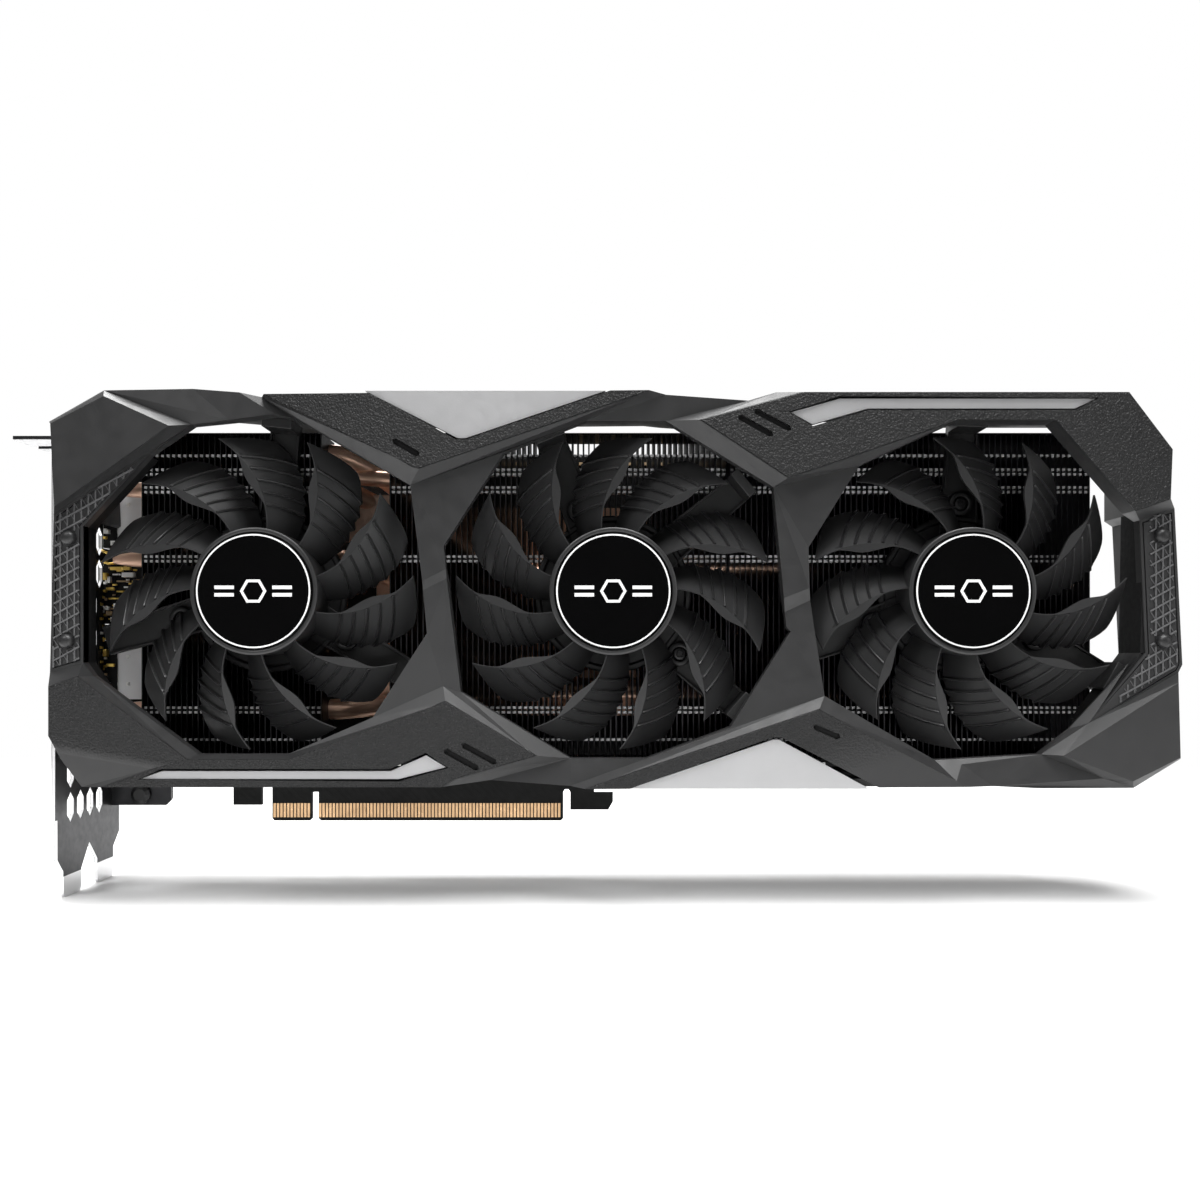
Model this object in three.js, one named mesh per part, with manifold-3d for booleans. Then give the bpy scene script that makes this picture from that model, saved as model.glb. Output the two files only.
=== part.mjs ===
// A three-fan graphics card. Millimetres, +X away from the bracket, +Z up, the fans face -Y.
// The origin is the middle of the long contact tongue's bottom edge, in the middle of the board.
// Depth means the distance in front of the board's front face, so Y = -BOARD.thick / 2 - depth.
import * as THREE from 'three';
import { mergeVertices } from 'three/addons/utils/BufferGeometryUtils.js';
import Module from 'manifold-3d';

const wasm = await Module();
wasm.setup();

// Driving dimensions.
const GAP = 0.3;
const BOARD = { thick: 1.57, left: -95, right: 165, bottom: 10.5, top: 107 };
const TONGUE = {
  half: 35.8, keyWidth: 1.9, shortWidth: 11.7, slotWidth: 2.1, slotRise: 0.8, notchTop: 8.4, bevel: 0.7,
};
const EAR = { right: -79, bottom: 5.2, chamfer: 1.2 };
const FOOT = { left: -60.8, right: -52.4, bottom: 4.6 };
const HOOK = { neck: 44.9, right: 50.4, top: 8.3, bottom: 3.2, chamfer: 1.4, rise: 2.4 };
const BRACKET = { inner: -95.85, thick: 1, rear: -3.8, front: 35.3, lowerFront: 34, top: 105 };
const BRACKET_TAB = { right: -78.5, bottom: 4.7, top: 13, chamfer: 1.5, rear: 0.3, front: 1.3 };
const BRACKET_SCREW = {
  x: -87.1, z: 7.9, hole: 1.9, shank: 1.4, shankRear: -1.3, head: 2.8, crown: 1.7,
  headRear: 1.6, tall: 1.6,
};
const FLANGE = {
  left: -107, sink: 0.2, rise: 0.8, notchRight: -101.4, notchHalf: 2.2, notchDepths: [4, 24],
};
const VENTS = {
  depths: [26.8, 21, 15.2, 9.4],
  rows: 10, lowest: 7.6, pitch: 9.15, halfDepth: 2, halfTall: 4.1, point: 2.2,
};
const PORTS = {
  count: 4, pitch: 21.8, lowest: 22.3, half: 8.3,
  right: -84.8, out: 0.6, front: 6.6, wall: 0.7, socketDepth: 10,
};
const STACK = { bottom: 20, top: 108.4, rear: 11.3, front: 26, fin: 0.8, pitch: 3.6, web: 0.9 };
const STACKS = { left: [-77.1, -28.5], middle: [-10.2, 80.9], right: [81.3, 178.8] };
const PIPE = { radius: 2.9, sides: 8, endX: 176, leftX: -84.5, leftDepth: 16, baseDepth: 7.7 };
const PIPE_ROWS = [[104.2, 71], [94.4, 63], [75.1, 55], [54, 47], [33.4, 39]];
const PIPE_BEND = { from: -28, to: 24, steps: 10, dropEnd: -11, lap: 0.4 };
const BASE_PLATE = { left: -18, right: 58, bottom: 31, top: 91, rear: 2.6, front: 4.4 };
const CHIP = { x: 20, z: 56, size: 40, die: 26, front: 1.5, dieFront: 2.3 };
const MEMORY = { width: 12, height: 14, thick: 1.1, uprightCount: 6 };
const MEMORY_SPOTS = [[-12, 38], [-12, 56], [-12, 74], [52, 38], [52, 56], [52, 74], [9, 87], [31, 87]];
const BACKPLATE = {
  left: -94, right: 166, bottom: 12, top: 107, rear: -4.2, front: -3, corner: 8, boss: 3,
};
const BACKPLATE_BOSSES = [
  [-86, 100], [20, 102], [92, 100], [158, 92], [158, 20], [92, 18], [20, 18], [-70, 18],
];
const WINDOW = { from: [118, 78], to: [146, 36], width: 6, count: 2, pitch: 12 };
const SOCKET = {
  bottom: 94.5, top: 108, front: 10.8, wall: 1.3, depth: 9, from: [96, 119.5], width: [21, 16.6],
};
const SHROUD = { rear: 10, skin: 2.4, wall: 2, skirtRear: 37.8, face: 45 };
const COOLER_ROOM = { left: 12.4, right: 11, margin: 2.6 };
const PLUG_ROOM = { side: 2, front: 7, top: 130 };
const BRACKET_ROOM = { right: 5.6, top: 106.5, front: 36 };
const FANS = {
  names: ['left', 'middle', 'right'], x: [-42, 50, 142], z: 64.8, turn: [1, -1, 1], phase: [15.3, 1, 14.5],
};
const HUB = {
  radius: 16.4, rear: 29.5, front: 42, wall: 1.4, recess: 15.2, floor: 41.1, roof: 39.9, bevel: 0.5,
};
const BADGE = { radius: 14.9, rear: 41.4, front: 42.2 };
const BLADE = {
  count: 11, tip: 40.7, thick: 1.1, front: 40.6, rear: 29.8,
  sweep: 23, sweepPower: 1.3, chord: 20.5, taper: 0.1, taperPower: 6, lag: 2, tipFall: 0.12,
  spans: [0, 0.33, 0.66, 1], chords: [0, 0.5, 1],
};
const FRAME = { radius: 21, rear: 26.6, front: 28.6, thick: 1.2, reach: 45.5 };
const STATOR = { radius: 10.6, rear: 28.2, front: 37, sleeve: 3.4, bore: 1.9, sleeveFront: 38.6 };
const MAGNET = { outer: 14.7, inner: 12.8, rear: 30, front: 38.5 };
const SHAFT = { radius: 1.5, rear: 27, front: 39.6 };
// Sides of the polygons that stand for round parts.
const ROUND = 22;
const SMALL_ROUND = 12;
const HOLE_SIDES = 8;
// How far a cutting body runs past what it cuts.
const PAST = 1;
const FAR_FRONT = 60;

// Materials.
const material = (color, roughness, metalness) =>
  new THREE.MeshStandardMaterial({ color, roughness, metalness });
const LOOKS = {
  board: material(0x0b0c0b, 0.6, 0),
  chip: material(0x1c1d1f, 0.5, 0),
  steel: material(0x6f7174, 0.35, 0.9),
  socketMetal: material(0xc9cacc, 0.3, 1),
  screw: material(0x2a2a2c, 0.35, 0.8),
  backplate: material(0x17181a, 0.55, 0.5),
  socketPlastic: material(0x0f0f10, 0.6, 0),
  aluminium: material(0x8f9296, 0.4, 1),
  copper: material(0xb87f5c, 0.3, 1),
  shroud: material(0x343436, 0.62, 0),
  silver: material(0xc9c9c9, 0.5, 0.2),
  panel: material(0x3a3b3c, 0.6, 0),
  fan: material(0x2a2b2c, 0.5, 0),
  badge: material(0x050505, 0.15, 0),
  stator: material(0x8a5a3a, 0.5, 0.6),
  magnet: material(0x3c3c40, 0.4, 0.8),
};

const card = new THREE.Group();

const yAt = (depth) => -BOARD.thick / 2 - depth;
const range = (count) => Array.from({ length: count }, (_, index) => index);
const radians = (degrees) => THREE.MathUtils.degToRad(degrees);

// Solids: a geometry becomes a manifold solid for joins and cuts, and comes back as flat-shaded triangles.
function solid(geometry) {
  const bare = geometry.index ? geometry.toNonIndexed() : geometry.clone();
  bare.deleteAttribute('normal');
  bare.deleteAttribute('uv');
  const merged = mergeVertices(bare, 1e-4);
  const vertProperties = new Float32Array(merged.attributes.position.array);
  const triVerts = new Uint32Array(merged.index.array);
  return new wasm.Manifold(new wasm.Mesh({ numProp: 3, vertProperties, triVerts }));
}

function geometryOf(body) {
  const mesh = body.getMesh();
  const geometry = new THREE.BufferGeometry();
  geometry.setAttribute('position', new THREE.BufferAttribute(new Float32Array(mesh.vertProperties), 3));
  geometry.setIndex(Array.from(mesh.triVerts));
  return geometry;
}

const joined = (bodies) => bodies.reduce((whole, body) => whole.add(body));
const cut = (body, tools) => (tools.length ? body.subtract(joined(tools)) : body);

function add(name, body, look) {
  const mesh = new THREE.Mesh(geometryOf(body), look);
  mesh.name = name;
  card.add(mesh);
}

// An outline in one plane, pushed along the third axis between two values.
function pushed(points, from, to, [u, v, along]) {
  const shape = new THREE.Shape(points.map(([a, b]) => new THREE.Vector2(a, b)));
  const geometry = new THREE.ExtrudeGeometry(shape, { depth: to - from, bevelEnabled: false });
  geometry.translate(0, 0, from);
  geometry.applyMatrix4(new THREE.Matrix4().makeBasis(u, v, along));
  return solid(geometry);
}

const [X, Y, Z] = [new THREE.Vector3(1, 0, 0), new THREE.Vector3(0, 1, 0), new THREE.Vector3(0, 0, 1)];
const FORWARD = new THREE.Vector3(0, -1, 0);

// Points are (x, z); the prism fills the depths between rear and front.
const plate = (points, rear, front) =>
  pushed(points, rear + BOARD.thick / 2, front + BOARD.thick / 2, [X, Z, FORWARD]);

// Points are (depth, z); the prism fills the given X range.
const sideProfile = (points, left, right) =>
  pushed(points.map(([depth, z]) => [yAt(depth), z]).reverse(), left, right, [Y, Z, X]);

function block([left, right], [bottom, top], [rear, front]) {
  const geometry = new THREE.BoxGeometry(right - left, front - rear, top - bottom);
  geometry.translate((left + right) / 2, yAt((rear + front) / 2), (bottom + top) / 2);
  return solid(geometry);
}

function disc(x, z, radius, rear, front, sides = ROUND) {
  const geometry = new THREE.CylinderGeometry(radius, radius, front - rear, sides);
  geometry.translate(x, yAt((rear + front) / 2), z);
  return solid(geometry);
}

// A profile of (radius, depth) points, from the axis back to the axis or closed on itself, turned about Y.
function turned(x, z, profile, sides = ROUND) {
  const points = profile.map(([radius, depth]) => new THREE.Vector2(radius, yAt(depth)));
  const geometry = new THREE.LatheGeometry(points, sides);
  geometry.translate(x, 0, z);
  const body = solid(geometry);
  return body.volume() > 0 ? body : solid(flipped(geometry));
}

function flipped(geometry) {
  const open = geometry.index ? geometry.toNonIndexed() : geometry.clone();
  const position = open.attributes.position;
  for (let corner = 0; corner < position.count; corner += 3) {
    const first = new THREE.Vector3().fromBufferAttribute(position, corner);
    const last = new THREE.Vector3().fromBufferAttribute(position, corner + 2);
    position.setXYZ(corner, last.x, last.y, last.z);
    position.setXYZ(corner + 2, first.x, first.y, first.z);
  }
  return open;
}

function tube(points, radius, sides, steps) {
  const circle = new THREE.Shape(
    range(sides).map((side) => {
      const angle = ((side + 0.5) * 2 * Math.PI) / sides;
      return new THREE.Vector2(radius * Math.cos(angle), radius * Math.sin(angle));
    }),
  );
  const path = points.length === 2 ? new THREE.LineCurve3(...points) : new THREE.CatmullRomCurve3(points);
  return solid(new THREE.ExtrudeGeometry(circle, { steps, extrudePath: path, bevelEnabled: false }));
}

// A long slot with pointed ends, from one (x, z) point to another.
function slot([x0, z0], [x1, z1], width, rear, front) {
  const [length, half] = [Math.hypot(x1 - x0, z1 - z0), width / 2];
  const [ux, uz] = [(x1 - x0) / length, (z1 - z0) / length];
  const corner = (along, across) => [x0 + along * ux - across * uz, z0 + along * uz + across * ux];
  const outline = [
    [0, 0], [half, -half], [length - half, -half], [length, 0], [length - half, half], [half, half],
  ];
  return plate(outline.map(([along, across]) => corner(along, across)), rear, front);
}

// ---------------------------------------------------------------- circuit board and what is soldered to it

function boardOutline() {
  const { half, keyWidth, shortWidth, slotWidth, slotRise, notchTop, bevel } = TONGUE;
  const shortRight = -half - keyWidth;
  const shortLeft = shortRight - shortWidth;
  return [
    [BOARD.left, BOARD.top], [BOARD.left, EAR.bottom + EAR.chamfer], [BOARD.left + EAR.chamfer, EAR.bottom],
    [EAR.right - EAR.chamfer, EAR.bottom], [EAR.right, EAR.bottom + EAR.chamfer], [EAR.right, BOARD.bottom],
    [FOOT.left, BOARD.bottom], [FOOT.left, FOOT.bottom],
    [FOOT.right, FOOT.bottom], [FOOT.right, BOARD.bottom],
    [shortLeft, BOARD.bottom], [shortLeft, bevel], [shortLeft + bevel, 0], [shortRight - bevel, 0],
    [shortRight, bevel], [shortRight, notchTop], [-half, notchTop], [-half, bevel], [-half + bevel, 0],
    [half - bevel, 0], [half, bevel], [half, notchTop], [half + slotWidth / 4, notchTop + slotRise],
    [half + (slotWidth * 3) / 4, notchTop + slotRise], [half + slotWidth, notchTop],
    [half + slotWidth, HOOK.bottom], [HOOK.right - HOOK.chamfer, HOOK.bottom],
    [HOOK.right, HOOK.bottom + HOOK.rise], [HOOK.right, HOOK.top], [HOOK.neck, HOOK.top],
    [HOOK.neck, BOARD.bottom], [BOARD.right, BOARD.bottom], [BOARD.right, BOARD.top],
  ];
}

const screwHole = disc(BRACKET_SCREW.x, BRACKET_SCREW.z, BRACKET_SCREW.hole,
  -BOARD.thick - PAST, BRACKET_TAB.front + PAST, HOLE_SIDES);

add('circuit_board', cut(plate(boardOutline(), -BOARD.thick, 0), [screwHole]), LOOKS.board);

function packageBody() {
  const square = (size, rear, front) =>
    block([CHIP.x - size / 2, CHIP.x + size / 2], [CHIP.z - size / 2, CHIP.z + size / 2], [rear, front]);
  return joined([square(CHIP.size, GAP / 2, CHIP.front), square(CHIP.die, GAP, CHIP.dieFront)]);
}

add('gpu_package', packageBody(), LOOKS.chip);

MEMORY_SPOTS.forEach(([x, z], index) => {
  const upright = index < MEMORY.uprightCount;
  const [halfX, halfZ] = (upright ? [MEMORY.width, MEMORY.height] : [MEMORY.height, MEMORY.width])
    .map((size) => size / 2);
  const body = block([x - halfX, x + halfX], [z - halfZ, z + halfZ], [GAP / 2, GAP / 2 + MEMORY.thick]);
  add(`memory_chip_${index + 1}`, body, LOOKS.chip);
});

const portHeights = range(PORTS.count).map((index) => PORTS.lowest + index * PORTS.pitch);

function portBody(z) {
  const left = BRACKET.inner - BRACKET.thick - PORTS.out;
  const shell = block([left, PORTS.right], [z - PORTS.half, z + PORTS.half], [GAP, PORTS.front]);
  const inside = PORTS.half - PORTS.wall;
  const mouth = [GAP + PORTS.wall, PORTS.front - PORTS.wall];
  return cut(shell, [block([left - PAST, left + PORTS.socketDepth], [z - inside, z + inside], mouth)]);
}

portHeights.forEach((z, index) => add(`display_port_${index + 1}`, portBody(z), LOOKS.socketMetal));

function powerSocket(left, width) {
  const { bottom, top, front, wall, depth } = SOCKET;
  const body = block([left, left + width], [bottom, top], [GAP, front]);
  const inside = [left + wall, left + width - wall];
  return cut(body, [block(inside, [top - depth, top + PAST], [GAP + wall, front - wall])]);
}

SOCKET.from.forEach((left, index) => {
  add(`power_socket_${index + 1}`, powerSocket(left, SOCKET.width[index]), LOOKS.socketPlastic);
});

// ---------------------------------------------------------------- bracket, its screw and the back plate

// The plate seen along X, as [depth, z], with the two tabs that stand in the case slot at its foot.
const BRACKET_OUTLINE = [
  [BRACKET.rear, BRACKET.top], [BRACKET.rear, -3.4], [0.3, -7.4], [0.3, -15], [1.3, -16], [9.5, -16],
  [10.5, -15], [10.5, -9], [15.6, -3.5], [20.6, -10], [20.6, -15], [21.6, -16], [29.8, -16], [30.8, -15],
  [30.8, -9], [BRACKET.lowerFront, -5.5], [BRACKET.lowerFront, 5], [BRACKET.front, 5],
  [BRACKET.front, BRACKET.top],
];

function ventSlot(depth, z) {
  const { halfDepth, halfTall, point } = VENTS;
  const corner = (across, up) => [depth + across, z + up];
  const outline = [
    corner(-halfDepth, halfTall - point), corner(0, halfTall), corner(halfDepth, halfTall - point),
    corner(halfDepth, point - halfTall), corner(0, -halfTall), corner(-halfDepth, point - halfTall),
  ];
  return sideProfile(outline, BRACKET.inner - BRACKET.thick - PAST, BRACKET.inner + PAST);
}

function bracketBody() {
  const outer = BRACKET.inner - BRACKET.thick;
  const face = sideProfile([...BRACKET_OUTLINE].reverse(), outer, BRACKET.inner);
  const flangeHeights = [BRACKET.top - FLANGE.sink, BRACKET.top + FLANGE.rise];
  const flange = block([FLANGE.left, BRACKET.inner], flangeHeights, [BRACKET.rear, BRACKET.front]);
  const { right, bottom, top, chamfer, rear, front } = BRACKET_TAB;
  const tabLeft = BRACKET.inner - BRACKET.thick / 2;
  const tabOutline = [
    [tabLeft, bottom], [right - chamfer, bottom], [right, bottom + chamfer], [right, top], [tabLeft, top],
  ];
  const holes = portHeights.map((z) =>
    block([outer - PAST, BRACKET.inner + PAST], [z - PORTS.half - GAP, z + PORTS.half + GAP],
      [0, PORTS.front + GAP]));
  const vents = VENTS.depths.flatMap((depth) =>
    range(VENTS.rows).map((row) => ventSlot(depth, VENTS.lowest + row * VENTS.pitch)));
  const notches = FLANGE.notchDepths.map((depth) =>
    block([FLANGE.left - PAST, FLANGE.notchRight], [BRACKET.top - PAST, BRACKET.top + FLANGE.rise + PAST],
      [depth - FLANGE.notchHalf, depth + FLANGE.notchHalf]));
  const tab = plate(tabOutline, rear, front);
  return cut(joined([face, flange, tab]), [...holes, ...vents, ...notches, screwHole]);
}

add('io_bracket', bracketBody(), LOOKS.steel);

function bracketScrewBody() {
  const { x, z, shank, shankRear, head, crown, headRear, tall } = BRACKET_SCREW;
  return turned(x, z, [[0, shankRear], [shank, shankRear], [shank, headRear], [head, headRear],
    [head, headRear + tall / 2], [crown, headRear + tall], [0, headRear + tall]], SMALL_ROUND);
}

add('bracket_screw', bracketScrewBody(), LOOKS.screw);

function backplateBody() {
  const { left, right, bottom, top, rear, front, corner, boss } = BACKPLATE;
  const outline = [[left, bottom], [right - corner, bottom], [right, bottom + corner], [right, top - corner],
    [right - corner, top], [left, top]];
  const bosses = BACKPLATE_BOSSES.map(([x, z]) =>
    disc(x, z, boss, (rear + front) / 2, -BOARD.thick - GAP, HOLE_SIDES));
  const windows = range(WINDOW.count).map((index) => {
    const shifted = ([x, z]) => [x + index * WINDOW.pitch, z];
    return slot(shifted(WINDOW.from), shifted(WINDOW.to), WINDOW.width, rear - PAST, front + PAST);
  });
  return cut(joined([plate(outline, rear, front), ...bosses]), windows);
}

add('backplate', backplateBody(), LOOKS.backplate);

// ---------------------------------------------------------------- cooler

add('base_plate', block([BASE_PLATE.left, BASE_PLATE.right], [BASE_PLATE.bottom, BASE_PLATE.top],
  [BASE_PLATE.rear, BASE_PLATE.front]), LOOKS.copper);

// A comb: a thin web at the back with fins standing forward from it.
function finStack([left, right], slots) {
  const { bottom, top, rear, front, fin, pitch, web } = STACK;
  const count = Math.floor((right - left - fin) / pitch) + 1;
  const step = (right - left - fin) / (count - 1);
  const teeth = range(count).flatMap((index) => {
    const x = left + index * step;
    return [[x, rear + web], [x, front], [x + fin, front], [x + fin, rear + web]];
  });
  const outline = [[left, rear], ...teeth.slice(1, -1), [right, rear]].map(([x, depth]) => [x, yAt(depth)]);
  return cut(pushed(outline.reverse(), bottom, top, [X, Y, Z]), slots);
}

const pipeSlots = PIPE_ROWS.map(([z]) => {
  const half = PIPE.radius + GAP;
  return block([STACKS.left[0] - PAST, STACKS.left[1] + PAST], [z - half, z + half],
    [STACK.rear - PAST, PIPE.leftDepth + half]);
});

add('fin_stack_left', finStack(STACKS.left, pipeSlots), LOOKS.aluminium);
add('fin_stack_middle', finStack(STACKS.middle, []), LOOKS.aluminium);
add('fin_stack_right', finStack(STACKS.right, []), LOOKS.aluminium);

// Each pipe runs straight through the left stack, drops between the stacks and fans in to the base plate.
function pipeBody([rowZ, baseZ]) {
  const bendPoint = (share) => {
    const x = THREE.MathUtils.lerp(PIPE_BEND.from, PIPE_BEND.to, share);
    const across = THREE.MathUtils.smoothstep(x, PIPE_BEND.from, PIPE_BEND.to);
    const drop = THREE.MathUtils.smoothstep(x, PIPE_BEND.from, PIPE_BEND.dropEnd);
    const depth = THREE.MathUtils.lerp(PIPE.leftDepth, PIPE.baseDepth, drop);
    return new THREE.Vector3(x, yAt(depth), THREE.MathUtils.lerp(rowZ, baseZ, across));
  };
  const at = (x, depth, z) => new THREE.Vector3(x, yAt(depth), z);
  const bend = range(PIPE_BEND.steps + 1).map((index) => bendPoint(index / PIPE_BEND.steps));
  const { from, to, lap } = PIPE_BEND;
  const left = [at(PIPE.leftX, PIPE.leftDepth, rowZ), at(from + lap, PIPE.leftDepth, rowZ)];
  const base = [at(to - lap, PIPE.baseDepth, baseZ), at(PIPE.endX, PIPE.baseDepth, baseZ)];
  return joined([
    tube(left, PIPE.radius, PIPE.sides, 1),
    tube(bend, PIPE.radius, PIPE.sides, PIPE_BEND.steps + 2),
    tube(base, PIPE.radius, PIPE.sides, 1),
  ]);
}

PIPE_ROWS.forEach((rows, index) => add(`heat_pipe_${index + 1}`, pipeBody(rows), LOOKS.copper));

// ---------------------------------------------------------------- shroud

// Corners of the faceted front, as [x, z, depth]. Depth 45 is the front face; about 41 is the recessed level.
const CORNERS = {
  // top left block, its chamfers and the step down to the side panel
  A0: [-94, 108, 42.5], A1: [-92.5, 107, 45], A2: [-80, 116, 42.5], A3: [-79, 114, 45],
  A4: [-58, 107.5, 41.5],
  A5: [-62.5, 106.5, 45], A6: [-91.5, 86, 45], A7: [-93.5, 84.5, 41], A8: [-67, 102, 41],
  // edge of the left opening beside the left side panel
  O2: [-69, 100, 41], O3: [-86, 81.5, 41], O4: [-86, 46.5, 41], P6: [-94.5, 44, 41],
  // bottom left block and the bottom bar
  B1: [-93, 40.5, 45], B2: [-85.5, 43, 45], B3: [-58, 22, 45], B5: [-78, 15, 45], B6: [-85, 15, 44],
  B7: [-90, 22, 44.5], B8: [-93, 28, 45], B9: [-32.5, 22, 45],
  O5: [-83.5, 43, 40.5], O6: [-56.5, 23, 41], O7: [-33.5, 23, 41],
  // bottom block between the left and middle fans
  V1: [7.5, 36.5, 45], V1o: [6.5, 40.5, 42], V2: [30, 23, 45], V3: [39, 22, 41], Q5: [9, 17, 45],
  Q7: [6, 15, 45],
  Q8: [18.5, 16.5, 42],
  // strut between the left and middle fans
  S1: [-2, 92, 41.5], S5: [22, 100.5, 41.5], S6: [6.5, 76.5, 41], S7: [7, 70.5, 41], S2: [1, 67.5, 41],
  S8: [7.5, 68, 43], S2b: [1.5, 65, 43], S3: [2.5, 54, 43], S4: [-11.5, 32.5, 42], S9: [11, 39, 42],
  // top bar between the left and middle fans
  E1: [-38.5, 114.5, 45], E2: [-1, 96.5, 45], E3: [1, 96, 45], E4: [59, 115.5, 45], E1b: [-40, 114.5, 41.5],
  E5: [63.5, 115, 42], T3: [-31.5, 109, 41.5], T4: [43, 108.5, 41], T5: [63.5, 108.5, 41],
  // low facets over the left fan and over the middle fan
  T1: [-48, 108.5, 42.5], T2: [-36.5, 110, 42.5], G1: [-57.5, 116.5, 42], G2: [-45.5, 115.5, 42.5],
  H1: [84.5, 113.5, 42], K1: [91.5, 115.5, 42.5],
  // top right block
  K2: [72.5, 108, 45], K3: [98.5, 115, 45], K4: [180.5, 115, 45], K5: [191.5, 100.5, 45], K6: [191, 88, 45],
  K7: [182, 85, 45], K8: [162, 108, 45], K9: [137, 108, 45], K10: [94.5, 93.5, 45],
  // strut between the middle and right fans
  W3: [91, 91.5, 41.5], R1: [113, 97, 41.5], R2: [100, 76, 41.5], R3: [100, 65.5, 43], W4: [93.5, 63, 43],
  W5: [94, 59.5, 41], R3b: [100.5, 62.5, 41], W2b: [94.5, 55.5, 41], W2: [95.5, 54.5, 41], R4: [104, 38, 42],
  W1: [80, 30, 42],
  // bottom right bar
  N0: [39, 15, 42], V4: [58.5, 22, 42], N1: [43, 14.5, 45], M1: [102, 34.5, 45], R5: [132.5, 21.5, 41],
  M3: [137, 16.5, 44.5], M4: [140, 15, 44.5],
  // low facets and bottom right block
  J1: [139, 20.5, 42], J2: [147, 15, 42.5], J3: [175, 17, 43], J4: [183, 14.5, 42], J5: [158.5, 14.5, 43],
  R6: [159.5, 23, 41.5], L1: [164, 23, 45], L2: [181.5, 16.5, 45], L3: [193.5, 22.5, 45], L4: [193, 41.5, 45],
  L3o: [194.5, 22, 43],
  // right side panel and the edge of the right opening beside it
  X0: [194, 86, 41], X1b: [196, 46, 41], X1: [195, 44, 41], X2: [172, 31, 41], R9: [185, 83, 41],
  R8: [186.5, 49, 41], R8b: [185, 48, 38.5], R7: [168, 29.5, 38.5],
};

const FACETS = [
  'A0 A2 A3 A1', 'A2 A4 A5 A3', 'A1 A3 A5 A6', 'A6 A5 A8 A7', 'A5 A4 O2 A8', 'A7 A8 O2 O3 O4 P6',
  'P6 O4 B2 B1', 'O4 O5 B2', 'B2 O5 O6 B3', 'B3 O6 O7 B9', 'B1 B2 B3 B5 B6 B7 B8', 'B9 O7 S4 V1o V1',
  'B3 B9 V1 V2 Q5 Q7 B5', 'V2 V3 Q8 Q7 Q5', 'V1 V1o S9 V3 V2',
  'S1 S5 S6 S7 S2', 'S2 S7 S8 S2b', 'S2b S8 S9 V1o S4 S3',
  'E1 E4 E3 E2', 'E1 E2 S1 T3 E1b', 'E2 E3 S1', 'E3 E4 E5 T5 T4 S5 S1',
  'A2 T1 A4', 'A2 G1 G2 T2 T1', 'G2 E1b T3 T2', 'E5 H1 T5',
  'T5 H1 K1 K3 K2', 'K2 K3 K4 K5 K6 K7 K8 K9 K10', 'T5 K2 K10 W3', 'W3 K10 K9 R1',
  'W3 R1 R2 R3 W4', 'W4 R3 R3b W5', 'W5 R3b R4 W1 W2 W2b',
  'N0 V4 W1 R4 M1 N1', 'R4 R5 M3 M1', 'N1 M1 M3 M4', 'V3 V4 N0', 'V3 N0 Q8',
  'R5 J1 J2 M4 M3', 'J1 R6 J3 J4 J5 J2', 'R5 R6 J1', 'R6 L1 L2 J4 J3', 'L2 L3 L3o J4', 'L1 L4 L3 L2',
  'X1 L4 L1 R6 X2', 'R9 X0 X1b X1 X2 R8', 'R8 X2 R6 R7 R8b', 'K6 X0 R9 K7',
].map((names) => names.split(' '));

const signedArea = (points) =>
  points.reduce((sum, [x, z], index) => {
    const [nextX, nextZ] = points[(index + 1) % points.length];
    return sum + (x * nextZ - nextX * z) / 2;
  }, 0);

const outlineOf = (names) => names.map((name) => CORNERS[name].slice(0, 2));
const turnedRight = FACETS.map((names) => (signedArea(outlineOf(names)) > 0 ? names : [...names].reverse()));

// The edges that only one facet has, chained into loops: the outer rim and one loop for each fan opening.
function rimLoops() {
  const edges = turnedRight.flatMap((names) =>
    names.map((name, index) => [name, names[(index + 1) % names.length]]));
  const known = new Set(edges.map(([from, to]) => `${from} ${to}`));
  const next = new Map(edges.filter(([from, to]) => !known.has(`${to} ${from}`)));
  const loops = [];
  while (next.size) {
    const loop = [];
    let name = next.keys().next().value;
    while (next.has(name)) {
      loop.push(name);
      const following = next.get(name);
      next.delete(name);
      name = following;
    }
    loops.push(loop);
  }
  return loops;
}

const loops = rimLoops();
const rim = loops.find((names) => signedArea(outlineOf(names)) > 0);
const openings = loops.filter((names) => names !== rim).map((names) => outlineOf(names).reverse());

// The block under the faceted front, back to one flat rear plane, moved back by `shift`.
function facetedBlock(rearDepth, shift) {
  const corner = (name, atRear) => {
    const [x, z, depth] = CORNERS[name];
    return [x, yAt(atRear ? rearDepth : depth - shift), z];
  };
  const points = [];
  turnedRight.forEach((names) => {
    const outline = outlineOf(names).map(([x, z]) => new THREE.Vector2(x, z));
    THREE.ShapeUtils.triangulateShape(outline, []).forEach(([a, b, c]) => {
      points.push(corner(names[a], false), corner(names[b], false), corner(names[c], false));
      points.push(corner(names[c], true), corner(names[b], true), corner(names[a], true));
    });
  });
  loops.forEach((names) => names.forEach((name, index) => {
    const other = names[(index + 1) % names.length];
    points.push(corner(name, true), corner(other, true), corner(other, false));
    points.push(corner(name, true), corner(other, false), corner(name, false));
  }));
  const geometry = new THREE.BufferGeometry();
  geometry.setAttribute('position', new THREE.Float32BufferAttribute(points.flat(), 3));
  return solid(geometry);
}

const SHARPEST = 0.6;

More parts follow.
